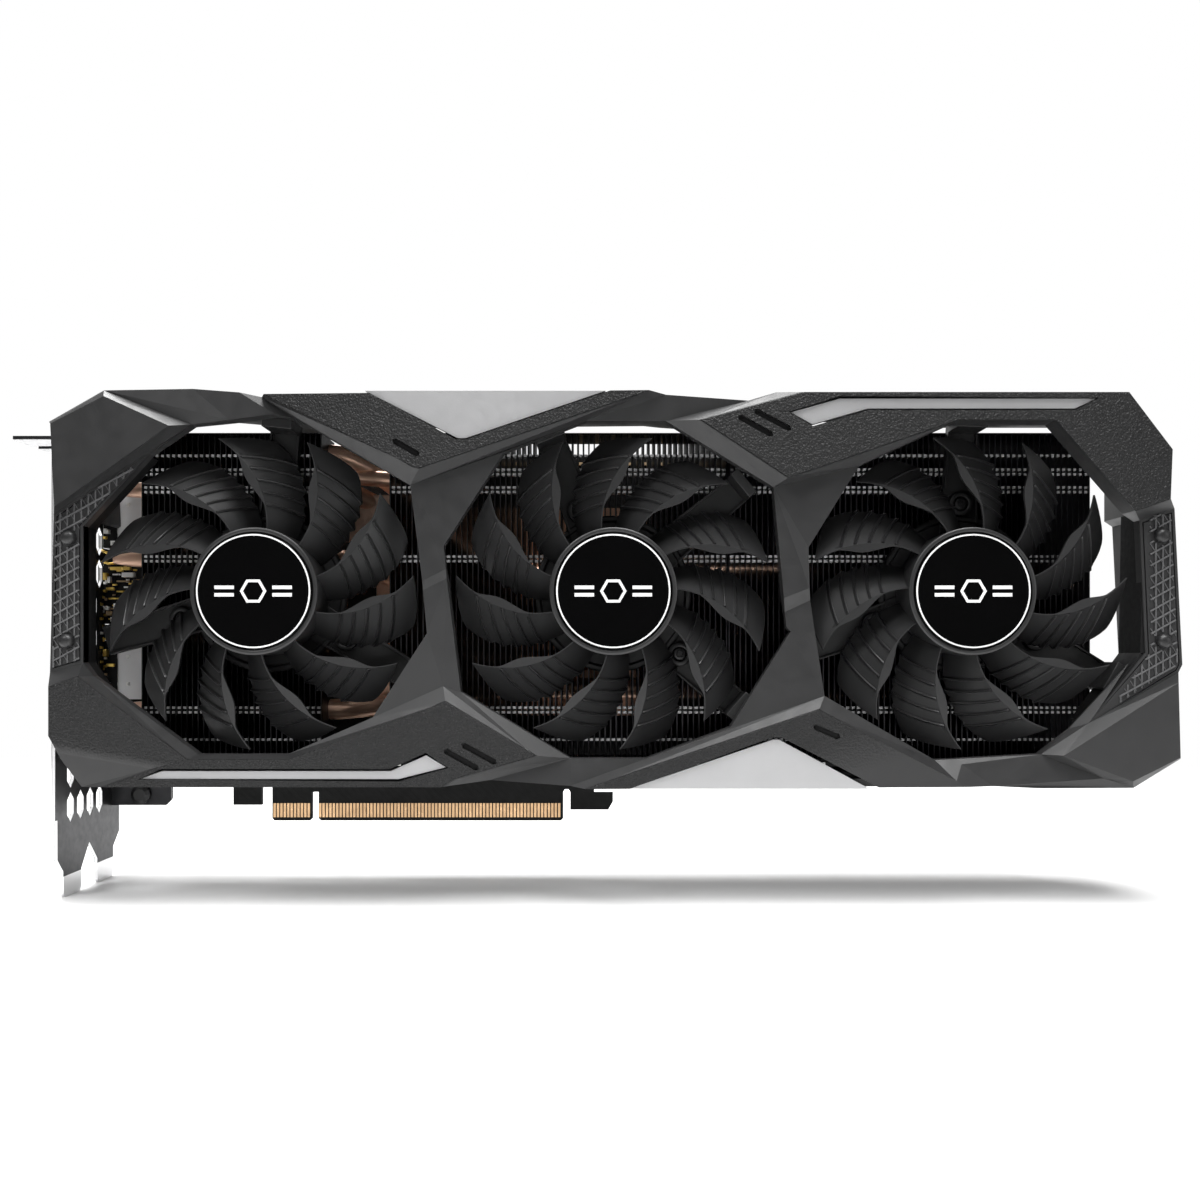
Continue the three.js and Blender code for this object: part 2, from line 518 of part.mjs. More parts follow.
// Moves every edge of an anticlockwise outline inwards (or outwards, when the distance is negative).
function inset(points, distance) {
  const count = points.length;
  const edge = (index) => {
    const [[x0, z0], [x1, z1]] = [points[index % count], points[(index + 1) % count]];
    const length = Math.hypot(x1 - x0, z1 - z0);
    return [-(z1 - z0) / length, (x1 - x0) / length];
  };
  return points.map(([x, z], index) => {
    const [[ax, az], [bx, bz]] = [edge(index + count - 1), edge(index)];
    const scale = distance / Math.max(1 + ax * bx + az * bz, SHARPEST);
    return [x + (ax + bx) * scale, z + (az + bz) * scale];
  });
}

const INSERTS = {
  insert_top: [[-13, 115.5], [10.5, 103.5], [12.5, 103.5], [48, 115.5]],
  insert_bottom: [[54, 14.5], [115, 14.5], [92, 27], [90.5, 27]],
  strip_top: [[95, 110], [100.5, 107], [114.5, 111], [167, 111], [172.5, 113.5], [107.5, 113.5]],
  strip_bottom: [[-70, 17], [-4.5, 17], [7.5, 20], [2.5, 23], [-6.5, 19], [-64.5, 19]],
};
const INSERT = { rear: 42.6, front: 44.2, pocket: 42.2, gap: 0.6 };
const POCKETS = [
  [[-14, 116], [10.2, 103], [12.7, 103], [51, 116], [51, 120], [-14, 120]],
  [[52.5, 14], [52.5, 10], [119, 10], [119, 14], [92.6, 27.6], [90.2, 27.6]],
  inset(INSERTS.strip_top, -INSERT.gap),
  inset(INSERTS.strip_bottom, -INSERT.gap),
];
const GROOVES = [
  [[-6, 103], [1, 99]], [[7, 24.5], [16, 19.5]], [[11.5, 26], [20.5, 21]], [[81.5, 109], [90.5, 104]],
  [[85.5, 110.5], [95, 105.5]], [[100.5, 30.5], [107.5, 27.5]],
];
const GROOVE = { width: 1.5, depth: 1.2 };
const PANELS = { left: ['A7', 'P6', 'O4', 'O3', 'O2'], right: ['X0', 'R9', 'R8', 'X2', 'X1', 'X1b'] };
const PANEL = { rear: 40, front: 41, pocket: 39.7, pocketInset: 0.7, inset: 1 };
const PANEL_SCREWS = [[-89.5, 78.5], [-90, 52], [190.5, 79], [191, 52]];
const PANEL_SCREW = {
  radius: 1.65, crown: 1.3, shank: 0.9, hole: 1.2,
  shankRear: 37.9, headRear: 41.3, crownFront: 42.1, headFront: 42.5,
};

const panelScrewHoles = PANEL_SCREWS.map(([x, z]) =>
  disc(x, z, PANEL_SCREW.hole, PANEL_SCREW.shankRear - PAST, FAR_FRONT, HOLE_SIDES));

function shroudBody() {
  const { rear, skin, wall, skirtRear, face } = SHROUD;
  const outer = facetedBlock(rear, 0);
  const rimInside = plate(inset(outlineOf(rim), wall), rear - PAST, FAR_FRONT);
  const skirts = openings.map((points) => plate(inset(points, -wall), rear - 2 * PAST, FAR_FRONT));
  const hollow = facetedBlock(rear - 2 * PAST, skin).intersect(cut(rimInside, skirts));
  const coolerRoom = block([STACKS.left[0] - COOLER_ROOM.left, STACKS.right[1] + COOLER_ROOM.right],
    [STACK.bottom - COOLER_ROOM.margin, STACK.top + COOLER_ROOM.margin], [rear - PAST, skirtRear]);
  const [firstSocket, lastSocket] = SOCKET.from;
  const plugRoom = block([firstSocket - PLUG_ROOM.side, lastSocket + SOCKET.width[1] + PLUG_ROOM.side],
    [STACK.top, PLUG_ROOM.top], [rear - PAST, SOCKET.front + PLUG_ROOM.front]);
  const bracketRoom = block([FLANGE.left - PAST, BRACKET.inner + BRACKET_ROOM.right],
    [0, BRACKET_ROOM.top], [rear - PAST, BRACKET_ROOM.front]);
  const pockets = POCKETS.map((points) => plate(points, INSERT.pocket, FAR_FRONT));
  const grooves = GROOVES.map(([from, to]) => slot(from, to, GROOVE.width, face - GROOVE.depth, FAR_FRONT));
  const panelPockets = Object.values(PANELS).map((names) =>
    plate(inset(outlineOf(names), PANEL.pocketInset), PANEL.pocket, FAR_FRONT));
  return cut(outer, [hollow, coolerRoom, plugRoom, bracketRoom, ...pockets, ...grooves, ...panelPockets,
    ...panelScrewHoles]);
}

add('shroud_frame', shroudBody(), LOOKS.shroud);

Object.entries(INSERTS).forEach(([name, points]) => {
  add(`silver_${name}`, plate(points, INSERT.rear, INSERT.front), LOOKS.silver);
});

Object.entries(PANELS).forEach(([side, names]) => {
  const skin = plate(inset(outlineOf(names), PANEL.inset), PANEL.rear, PANEL.front);
  add(`side_panel_${side}`, cut(skin, panelScrewHoles), LOOKS.panel);
});

PANEL_SCREWS.forEach(([x, z], index) => {
  const { radius, crown, shank, shankRear, headRear, crownFront, headFront } = PANEL_SCREW;
  const profile = [[0, shankRear], [shank, shankRear], [shank, headRear], [radius, headRear],
    [crown, crownFront], [0, headFront]];
  add(`panel_screw_${index + 1}`, turned(x, z, profile, SMALL_ROUND), LOOKS.screw);
});

// ---------------------------------------------------------------- fans

// One blade, by share of the span and share of the chord; the chord runs back and round the hub.
function bladeBody(x, turn, phase) {
  const { spans, chords } = BLADE;
  const root = HUB.radius - HUB.wall / 2;
  const angleAt = (span, chord) => {
    const lead = BLADE.sweep * span ** BLADE.sweepPower;
    const width = BLADE.chord * (1 - BLADE.taper * span ** BLADE.taperPower);
    return radians(phase + turn * (lead - width * chord - (1 - span) * BLADE.lag));
  };
  const corner = (span, chord, rear) => {
    const radius = THREE.MathUtils.lerp(root, BLADE.tip, span);
    const angle = angleAt(span, chord);
    const share = THREE.MathUtils.lerp(BLADE.tipFall * span, 1 - BLADE.tipFall * (1 - span), chord);
    const fall = (BLADE.front - BLADE.rear - BLADE.thick) * share;
    const depth = BLADE.front - fall - (rear ? BLADE.thick : 0);
    return [x + radius * Math.cos(angle), yAt(depth), FANS.z + radius * Math.sin(angle)];
  };
  const points = [];
  const quad = (a, b, c, d) => points.push(a, b, c, a, c, d);
  spans.slice(1).forEach((outerSpan, band) => {
    const innerSpan = spans[band];
    chords.slice(1).forEach((lower, step) => {
      const upper = chords[step];
      quad(corner(innerSpan, upper, false), corner(outerSpan, upper, false),
        corner(outerSpan, lower, false), corner(innerSpan, lower, false));
      quad(corner(innerSpan, lower, true), corner(outerSpan, lower, true),
        corner(outerSpan, upper, true), corner(innerSpan, upper, true));
    });
    quad(corner(innerSpan, 0, true), corner(outerSpan, 0, true),
      corner(outerSpan, 0, false), corner(innerSpan, 0, false));
    quad(corner(innerSpan, 1, false), corner(outerSpan, 1, false),
      corner(outerSpan, 1, true), corner(innerSpan, 1, true));
  });
  chords.slice(1).forEach((lower, step) => {
    const upper = chords[step];
    quad(corner(0, upper, true), corner(0, upper, false), corner(0, lower, false), corner(0, lower, true));
    quad(corner(1, upper, false), corner(1, upper, true), corner(1, lower, true), corner(1, lower, false));
  });
  const geometry = new THREE.BufferGeometry();
  geometry.setAttribute('position', new THREE.Float32BufferAttribute(points.flat(), 3));
  const body = solid(geometry);
  return body.volume() > 0 ? body : solid(flipped(geometry));
}

function rotorBody(x, turn, phase) {
  const inner = HUB.radius - HUB.wall;
  const cup = turned(x, FANS.z, [[0, HUB.floor], [HUB.recess, HUB.floor], [HUB.recess, HUB.front],
    [HUB.radius - HUB.bevel, HUB.front], [HUB.radius, HUB.front - HUB.bevel], [HUB.radius, HUB.rear],
    [inner, HUB.rear],
    [inner, HUB.roof], [0, HUB.roof]]);
  const blades = range(BLADE.count).map((index) => bladeBody(x, turn, phase + (index * 360) / BLADE.count));
  const lap = HUB.wall / 4;
  const cupRoom = disc(x, FANS.z, inner + lap, HUB.rear - PAST, HUB.floor - lap);
  return joined([cup, cut(joined(blades), [cupRoom])]);
}

// Angles of the three arms of each base frame, chosen so that the screw bosses fall clear of the struts.
const ARM_ANGLES = [[84, 196, 330], [112, 40, 318], [88, 330, 200]];
const ARM = { halfWidth: 5.2, tipHalf: 3.9, inner: 10, thick: 1.6, post: 43, bossAt: 24, boss: 3.2 };

function frameBody(x, arms) {
  const [bore, rear, front] = [SHAFT.radius + GAP, FRAME.rear, FRAME.rear + FRAME.thick];
  const bowl = turned(x, FANS.z, [[bore, front], [FRAME.radius, front], [FRAME.radius, rear], [bore, rear],
    [bore, front]]);
  const limbs = arms.flatMap((degrees) => {
    const [cos, sin] = [Math.cos(radians(degrees)), Math.sin(radians(degrees))];
    const point = (along, across) => [x + along * cos - across * sin, FANS.z + along * sin + across * cos];
    const bar = plate([point(ARM.inner, -ARM.halfWidth), point(FRAME.reach, -ARM.tipHalf),
      point(FRAME.reach, ARM.tipHalf), point(ARM.inner, ARM.halfWidth)], rear, rear + ARM.thick);
    const post = plate([point(ARM.post, -ARM.tipHalf), point(FRAME.reach, -ARM.tipHalf),
      point(FRAME.reach, ARM.tipHalf), point(ARM.post, ARM.tipHalf)],
    rear + ARM.thick / 2, SHROUD.skirtRear - GAP);
    const [bossX, bossZ] = point(ARM.bossAt, 0);
    return [bar, post, disc(bossX, bossZ, ARM.boss, rear, FRAME.front, SMALL_ROUND)];
  });
  return joined([bowl, ...limbs]);
}

function statorBody(x) {
  const { radius, rear, front, sleeve, bore, sleeveFront } = STATOR;
  return turned(x, FANS.z, [[bore, rear], [radius, rear], [radius, front], [sleeve, front],
    [sleeve, sleeveFront], [bore, sleeveFront], [bore, rear]], SMALL_ROUND);
}

function magnetBody(x) {
  const { outer, inner, rear, front } = MAGNET;
  return turned(x, FANS.z, [[inner, rear], [outer, rear], [outer, front], [inner, front], [inner, rear]]);
}

FANS.names.forEach((side, index) => {
  const x = FANS.x[index];
  const [turn, phase] = [FANS.turn[index], FANS.phase[index]];
  add(`${side}_fan_frame`, frameBody(x, ARM_ANGLES[index]), LOOKS.fan);
  add(`${side}_fan_stator`, statorBody(x), LOOKS.stator);
  add(`${side}_fan_rotor`, rotorBody(x, turn, phase), LOOKS.fan);
  add(`${side}_fan_magnet_ring`, magnetBody(x), LOOKS.magnet);
  add(`${side}_fan_shaft`, disc(x, FANS.z, SHAFT.radius, SHAFT.rear, SHAFT.front, HOLE_SIDES), LOOKS.steel);
  add(`${side}_fan_badge`, disc(x, FANS.z, BADGE.radius, BADGE.rear, BADGE.front), LOOKS.badge);
});

export default card;
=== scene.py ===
"""Looks for a three-fan graphics card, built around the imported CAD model.

Lengths are millimetres until make() turns them into metres; only the materials, the floor, the lights and
the camera are set in metres. Points are (x, depth, z): depth is the distance in front of the circuit board's
front face, so y = BOARD_FRONT - depth.
"""
import math

import bmesh
import bpy
import numpy as np
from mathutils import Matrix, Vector


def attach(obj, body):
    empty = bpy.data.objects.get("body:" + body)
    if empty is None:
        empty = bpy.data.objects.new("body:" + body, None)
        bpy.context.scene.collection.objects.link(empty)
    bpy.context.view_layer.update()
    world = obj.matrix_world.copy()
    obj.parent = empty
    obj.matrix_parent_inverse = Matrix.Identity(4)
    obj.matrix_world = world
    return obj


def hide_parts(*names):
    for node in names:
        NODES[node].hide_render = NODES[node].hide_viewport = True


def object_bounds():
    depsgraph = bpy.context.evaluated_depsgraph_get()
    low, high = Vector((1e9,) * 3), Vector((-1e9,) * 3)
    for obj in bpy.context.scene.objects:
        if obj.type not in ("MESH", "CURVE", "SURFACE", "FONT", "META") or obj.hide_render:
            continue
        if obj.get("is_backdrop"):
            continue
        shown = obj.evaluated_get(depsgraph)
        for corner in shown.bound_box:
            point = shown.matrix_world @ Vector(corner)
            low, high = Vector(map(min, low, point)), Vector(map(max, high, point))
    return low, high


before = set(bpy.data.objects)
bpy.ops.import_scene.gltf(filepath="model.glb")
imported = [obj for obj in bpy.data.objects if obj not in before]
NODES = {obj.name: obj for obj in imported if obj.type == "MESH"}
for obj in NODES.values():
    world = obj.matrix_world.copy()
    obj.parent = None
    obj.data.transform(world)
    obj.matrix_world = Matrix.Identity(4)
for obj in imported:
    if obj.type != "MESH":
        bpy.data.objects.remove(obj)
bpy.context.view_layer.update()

MM = 0.001
BOARD_FRONT = -0.785
CARD = "card"
SIDES = ("left", "middle", "right")


# -------- materials

# A Mix node's colour sockets.
MIX_FIRST = 6
MIX_SECOND = 7
MIX_RESULT = 2
# Roughness varies in patches this many times finer than the colour does.
ROUGH_FINER = 9


class Look:
    """A procedural material: base colour and roughness vary in patches, and grain is cut with bump."""

    def __init__(self, name, color, rough, metal=0.0, spread=0.1, rough_spread=0.06, patch=70):
        self.material = bpy.data.materials.new(name)
        self.material.use_nodes = True
        self.tree = self.material.node_tree
        self.shader = self.tree.nodes["Principled BSDF"]
        self.shader.inputs["Metallic"].default_value = metal
        self.coords = self.node("ShaderNodeTexCoord").outputs["Object"]
        tint = self.noise(patch, 4)
        dark = [c * (1 - spread) for c in color] + [1]
        light = [min(c * (1 + spread), 1) for c in color] + [1]
        self.color = self.mix(self.ranged(tint, 0.35, 0.65), dark, light)
        fine = self.noise(patch * ROUGH_FINER, 3)
        roughness = self.ranged(fine, 0.3, 0.7, rough - rough_spread, rough + rough_spread)
        self.tree.links.new(roughness, self.shader.inputs["Roughness"])
        self.heights = []

    def node(self, kind, **values):
        made = self.tree.nodes.new(kind)
        for key, value in values.items():
            setattr(made, key, value)
        return made

    def feed(self, socket, value):
        """Links a value to a socket, or sets it there when it is a constant."""
        if isinstance(value, bpy.types.NodeSocket):
            self.tree.links.new(value, socket)
        else:
            socket.default_value = value

    def math(self, operation, *values):
        made = self.node("ShaderNodeMath", operation=operation)
        for socket, value in zip(made.inputs, values):
            self.feed(socket, value)
        return made.outputs[0]

    def noise(self, scale, detail=2, stretch=(1, 1, 1)):
        mapping = self.node("ShaderNodeMapping")
        mapping.inputs["Scale"].default_value = stretch
        self.feed(mapping.inputs["Vector"], self.coords)
        made = self.node("ShaderNodeTexNoise")
        made.inputs["Scale"].default_value = scale
        made.inputs["Detail"].default_value = detail
        self.feed(made.inputs["Vector"], mapping.outputs[0])
        return made.outputs["Fac"]

    def cells(self, scale):
        made = self.node("ShaderNodeTexVoronoi", feature="SMOOTH_F1")
        made.inputs["Scale"].default_value = scale
        made.inputs["Smoothness"].default_value = 0.6
        self.feed(made.inputs["Vector"], self.coords)
        return made.outputs["Distance"]

    def axes(self):
        """The x, y and z of the shaded point, in metres."""
        made = self.node("ShaderNodeSeparateXYZ")
        self.feed(made.inputs[0], self.coords)
        return made.outputs["X"], made.outputs["Y"], made.outputs["Z"]

    def ranged(self, value, low, high, to_low=0.0, to_high=1.0):
        made = self.node("ShaderNodeMapRange")
        for socket, number in zip(list(made.inputs)[:5], (value, low, high, to_low, to_high)):
            self.feed(socket, number)
        return made.outputs[0]

    def mix(self, share, first, second):
        made = self.node("ShaderNodeMix", data_type="RGBA")
        self.feed(made.inputs["Factor"], share)
        self.feed(made.inputs[MIX_FIRST], first)
        self.feed(made.inputs[MIX_SECOND], second)
        return made.outputs[MIX_RESULT]

    def gloss(self, level):
        self.feed(self.shader.inputs["Specular IOR Level"], level)

    def height(self, value, distance):
        """Adds relief: value runs from 0 to 1 over distance, in millimetres."""
        self.heights.append((value, distance))

    def done(self):
        """Links the colour and the relief to the shader, and gives the material."""
        self.feed(self.shader.inputs["Base Color"], self.color)
        normal = None
        for value, distance in self.heights:
            bump = self.node("ShaderNodeBump")
            bump.inputs["Distance"].default_value = distance * MM
            self.feed(bump.inputs["Height"], value)
            if normal is not None:
                self.feed(bump.inputs["Normal"], normal)
            normal = bump.outputs["Normal"]
        if normal is not None:
            self.feed(self.shader.inputs["Normal"], normal)
        return self.material


# The shroud's foremost faces lie between these two y and carry a leather grain. Two facets stay plain:
# the one left of and above the first (x, z), and the one right of and below the second.
FACE_Y = (-0.04545, -0.04565)
PLAIN_TOP_LEFT = (-0.056, 0.06)
PLAIN_BOTTOM_RIGHT = (0.158, 0.05)
LEATHER_CELLS = 1700
LEATHER_NOISE = 2600
LEATHER_RISE = 0.25
GRAINED_TINT = (0.004, 0.004, 0.0042, 1)
GRAINED_SHARE = 0.55
PLAIN_AND_GRAINED_GLOSS = (0.5, 0.3)


def shroud_look():
    """Black plastic, leather grained and duller on the front faces."""
    look = Look("shroud_plastic", (0.02, 0.02, 0.0204), 0.44, spread=0.08, patch=30)
    x, y, z = look.axes()
    face = look.ranged(y, *FACE_Y)
    left_of = look.math("LESS_THAN", x, PLAIN_TOP_LEFT[0])
    above = look.math("GREATER_THAN", z, PLAIN_TOP_LEFT[1])
    right_of = look.math("GREATER_THAN", x, PLAIN_BOTTOM_RIGHT[0])
    below = look.math("LESS_THAN", z, PLAIN_BOTTOM_RIGHT[1])
    top_left = look.math("MULTIPLY", left_of, above)
    bottom_right = look.math("MULTIPLY", right_of, below)
    plain = look.math("MAXIMUM", top_left, bottom_right)
    grained = look.math("MULTIPLY", face, look.math("SUBTRACT", 1.0, plain))
    relief = look.math("ADD", look.cells(LEATHER_CELLS), look.noise(LEATHER_NOISE, 3))
    look.height(look.math("MULTIPLY", relief, grained), LEATHER_RISE)
    look.height(look.noise(LEATHER_NOISE, 2), 0.012)
    look.color = look.mix(grained, look.color, look.mix(GRAINED_SHARE, look.color, GRAINED_TINT))
    look.gloss(look.ranged(grained, 0, 1, *PLAIN_AND_GRAINED_GLOSS))
    return look.done()


def satin_look(name, color, rough, grain=0.012, scale=2400, gloss=0.5, **options):
    """Paint, plastic or cast metal with a fine even grain."""
    look = Look(name, color, rough, **options)
    look.gloss(gloss)
    look.height(look.noise(scale, 2), grain)
    return look.done()


def brushed_look(name, color, rough, stretch, **options):
    """Bare metal with a grain drawn out along one axis."""
    look = Look(name, color, rough, metal=1.0, **options)
    look.height(look.noise(900, 3, stretch), 0.01)
    return look.done()


# The bracket is bare below TABS_TOP and between the two x of its cut edges; at the flange's underside the
# same pale colour is a painted reflection.
TABS_TOP = -0.0104
FLANGE_UNDERSIDE = 0.1048
FLANGE_NEAR = 0.00012
CUT_EDGES_X = (-0.09672, -0.09596)
BARE_STEEL_AND_REFLECTION = (0.86, 0.86, 0.865, 1)


def bracket_look():
    """Dark plated steel, bare on its cut edges and on the slot tabs, with a painted reflection under its
    flange.
    """
    look = Look("bracket_steel", (0.03, 0.03, 0.032), 0.36, metal=0.75, spread=0.12)
    x, _, z = look.axes()
    tabs = look.math("LESS_THAN", z, TABS_TOP)
    # The flange's underside is painted pale: a painted reflection, not bare steel.
    flange_reflection = look.math("COMPARE", z, FLANGE_UNDERSIDE, FLANGE_NEAR)
    inside = look.math("GREATER_THAN", x, CUT_EDGES_X[0])
    edges = look.math("MULTIPLY", inside, look.math("LESS_THAN", x, CUT_EDGES_X[1]))
    bare_and_reflection = look.math("MAXIMUM", look.math("MAXIMUM", tabs, flange_reflection), edges)
    look.color = look.mix(bare_and_reflection, look.color, BARE_STEEL_AND_REFLECTION)
    look.height(look.noise(700, 3, (1, 1, 0.06)), 0.008)
    return look.done()


def board_look():
    """Solder mask over copper: faint raised traces and a slight green-black tint."""
    look = Look("board_mask", (0.003, 0.0033, 0.0031), 0.5, spread=0.25)
    look.gloss(0.2)
    lines = look.node("ShaderNodeTexWave", bands_direction="DIAGONAL", wave_type="BANDS")
    lines.inputs["Scale"].default_value = 260
    lines.inputs["Distortion"].default_value = 2.5
    look.feed(lines.inputs["Vector"], look.coords)
    look.height(look.ranged(lines.outputs["Fac"], 0.45, 0.6), 0.03)
    return look.done()


LOOKS = {
    "shroud": shroud_look(),
    "fan": satin_look("fan_plastic", (0.019, 0.019, 0.0194), 0.36, grain=0.004, scale=3000,
                      rough_spread=0.02, spread=0.05),
    "frame": satin_look("frame_plastic", (0.008, 0.008, 0.0082), 0.5),
    "cap": satin_look("cap_gloss", (0.0015, 0.0015, 0.0016), 0.12, grain=0.001, scale=300,
                      rough_spread=0.03, gloss=0.08),
    "print": satin_look("white_print", (0.8, 0.8, 0.8), 0.5, grain=0.006),
    "silver": satin_look("silver_paint", (0.43, 0.43, 0.435), 0.4, metal=0.35, grain=0.02, scale=3500,
                         spread=0.03),
    "panel": satin_look("panel_plastic", (0.022, 0.022, 0.0225), 0.42),
    # The ribs' plastic is five times lighter than the panel's: a painted highlight on the ribs.
    "rib": satin_look("panel_rib_painted_highlight", (0.11, 0.11, 0.112), 0.36),
    "bracket": bracket_look(),
    "board": board_look(),
    "gold": brushed_look("gold_plate", (0.6, 0.39, 0.22), 0.32, (1, 1, 0.1)),
    "copper": satin_look("copper", (0.86, 0.55, 0.4), 0.3, metal=0.55, grain=0.0015, scale=900,
                         spread=0.06, rough_spread=0.02),
    "rough_copper": satin_look("rough_copper", (0.62, 0.42, 0.32), 0.36, metal=0.5, grain=0.4, scale=420,
                               spread=0.4),
    # The fins' aluminium is far darker than bare aluminium: painted shade for the fins behind the fans and
    # the shroud.
    "fins": brushed_look("fin_aluminium_painted_shade", (0.05, 0.05, 0.052), 0.34, (1, 1, 0.1), spread=0.1),
    # Bright metal for the capacitor cans and the cooler screws; on the bars between the fins it is a painted
    # highlight.
    "bright": satin_look("bright_metal_and_highlight", (0.9, 0.9, 0.91), 0.25, metal=0.25, grain=0.006),
    "port": satin_look("port_steel", (0.75, 0.75, 0.755), 0.38, metal=0.25, grain=0.003, spread=0.05,
                       rough_spread=0.02),
    "screw": satin_look("screw_black", (0.012, 0.012, 0.0125), 0.42, grain=0.006, rough_spread=0.03),
    # Near black, darker than the shroud's plastic: painted shade on the openings' inner walls and on the
    # groove floors; the same look serves the dark plates and covers round the sockets.
    "lip": satin_look("near_black_and_painted_shade", (0.005, 0.005, 0.0052), 0.6, gloss=0.2),
    "socket": satin_look("socket_plastic", (0.012, 0.012, 0.012), 0.5),
    "backplate": satin_look("backplate_paint", (0.022, 0.022, 0.023), 0.42, metal=0.2, grain=0.02,
                            scale=1800),
    "chip": satin_look("chip_resin", (0.03, 0.03, 0.032), 0.5, grain=0.03),
    "stator": satin_look("windings", (0.35, 0.14, 0.06), 0.4, metal=0.6, grain=0.05, scale=900),
    "magnet": satin_look("magnet_ferrite", (0.09, 0.09, 0.095), 0.5, metal=0.5, grain=0.03),
    "shaft": brushed_look("shaft_steel", (0.5, 0.5, 0.51), 0.25, (1, 0.05, 1)),
    "ceramic": satin_look("ceramic_tan", (0.42, 0.3, 0.17), 0.5, grain=0.02),
    "solder": satin_look("solder", (0.82, 0.82, 0.8), 0.3, metal=0.5, grain=0.03, scale=1500),
    "brass": satin_look("gold_leads", (0.72, 0.5, 0.12), 0.3, metal=0.75, grain=0.02, scale=1500, spread=0.3),
    "choke": satin_look("choke_ferrite", (0.11, 0.11, 0.115), 0.6, grain=0.05, scale=1200),
}


# -------- mesh helpers

# Edges are rounded in this many steps.
ROUND_STEPS = 2
# A profile's point this close to its axis is on it.
ON_AXIS = 1e-6


class Shape:
    """Vertices and faces gathered from several closed forms, each with its look."""

    def __init__(self):
        self.verts = []
        self.faces = []
        self.slots = []
        self.looks = []

    def add(self, form, look):
        verts, faces = form
        if look not in self.looks:
            self.looks.append(look)
        start = len(self.verts)
        self.verts.extend(verts)
        self.faces.extend([[start + index for index in face] for face in faces])
        self.slots.extend([self.looks.index(look)] * len(faces))


def prism(points, rear, front):
    """A flat outline of (x, z) points filled between two depths."""
    count = len(points)
    verts = [(x, rear, z) for x, z in points] + [(x, front, z) for x, z in points]
    sides = [[i, (i + 1) % count, count + (i + 1) % count, count + i] for i in range(count)]
    return verts, [list(range(count))[::-1], list(range(count, 2 * count))] + sides


def brick(xs, zs, depths):
    """A box from its limits along x, z and depth."""
    return prism([(xs[0], zs[0]), (xs[1], zs[0]), (xs[1], zs[1]), (xs[0], zs[1])], depths[0], depths[1])


def cuboid(x, z, width, height, rear, front):
    """A box from its middle, its width and height, and its depths."""
    return brick((x - width / 2, x + width / 2), (z - height / 2, z + height / 2), (rear, front))


def strip(start, end, near, far):
    """The outline of a straight strip between two (x, z) points, from near to far beside the line."""
    length = math.hypot(end[0] - start[0], end[1] - start[1])
    side = (-(end[1] - start[1]) / length, (end[0] - start[0]) / length)
    corners = ((start, near), (end, near), (end, far), (start, far))
    return [(x + side[0] * away, z + side[1] * away) for (x, z), away in corners]


def lathe(profile, x, z, steps=48, closed=True):
    """A profile of (radius, depth) points turned about the depth axis through (x, z)."""
    rings = []
    verts = []
    for radius, depth in profile:
        if radius < ON_AXIS:
            rings.append([len(verts)])
            verts.append((x, depth, z))
            continue
        rings.append(list(range(len(verts), len(verts) + steps)))
        for step in range(steps):
            angle = 2 * math.pi * step / steps
            verts.append((x + radius * math.cos(angle), depth, z + radius * math.sin(angle)))
    faces = []
    pairs = list(zip(rings, rings[1:] + rings[:1])) if closed else list(zip(rings, rings[1:]))
    for low, high in pairs:
        for step in range(steps):
            following = (step + 1) % steps
            if len(low) == 1:
                faces.append([low[0], high[step], high[following]])
            elif len(high) == 1:
                faces.append([low[step], high[0], low[following]])
            else:
                faces.append([low[step], high[step], high[following], low[following]])
    return verts, faces


def tube(path, radii, sides):
    """A round tube along (x, depth, z) points; radii holds one radius or an (across, up) pair per point."""
    points = [Vector(point) for point in path]
    verts = []
    side = Vector((0, 0, 1))
    for index, point in enumerate(points):
        ahead = points[min(index + 1, len(points) - 1)] - points[max(index - 1, 0)]
        ahead.normalize()
        side = (side - ahead * side.dot(ahead)).normalized()
        across = ahead.cross(side)
        wide, tall = radii[index] if isinstance(radii[index], tuple) else (radii[index], radii[index])
        for step in range(sides):
            angle = 2 * math.pi * step / sides
            verts.append(tuple(point + across * wide * math.cos(angle) + side * tall * math.sin(angle)))
    faces = []
    for ring in range(len(points) - 1):
        low = ring * sides
        high = low + sides
        for step in range(sides):
            following = (step + 1) % sides
            faces.append([low + step, low + following, high + following, high + step])
    last = (len(points) - 1) * sides
    faces.append(list(range(sides))[::-1])
    faces.append([last + step for step in range(sides)])
    return verts, faces


def make(name, shape, body, replaces=(), bevel=0.0, smooth=35):
    """Turns a Shape into a piece that rides on a CAD body."""
    mesh = bpy.data.meshes.new(name)
    points = [(x * MM, (BOARD_FRONT - depth) * MM, z * MM) for x, depth, z in shape.verts]
    mesh.from_pydata(points, [], shape.faces)
    for key in shape.looks:
        mesh.materials.append(LOOKS[key])
    mesh.polygons.foreach_set("material_index", shape.slots)
    work = bmesh.new()
    work.from_mesh(mesh)
    bmesh.ops.recalc_face_normals(work, faces=work.faces)
    work.to_mesh(mesh)
    work.free()
    piece = bpy.data.objects.new(name, mesh)
    bpy.context.scene.collection.objects.link(piece)
    soften(piece, bevel, smooth)
    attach(piece, body)
    if replaces:
        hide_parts(*replaces)
    return piece


def soften(piece, bevel, smooth):
    """Rounds the edges sharper than smooth degrees, and shades the others smoothly on a piece made here."""
    if bevel:
        rounded = piece.modifiers.new("edge_round", "BEVEL")
        rounded.width = bevel * MM
        rounded.segments = ROUND_STEPS
        rounded.limit_method = "ANGLE"
        rounded.angle_limit = math.radians(smooth)
        rounded.harden_normals = False
    if smooth and piece.name not in NODES:
        piece.data.shade_smooth()
        piece.data.set_sharp_from_angle(angle=math.radians(smooth))


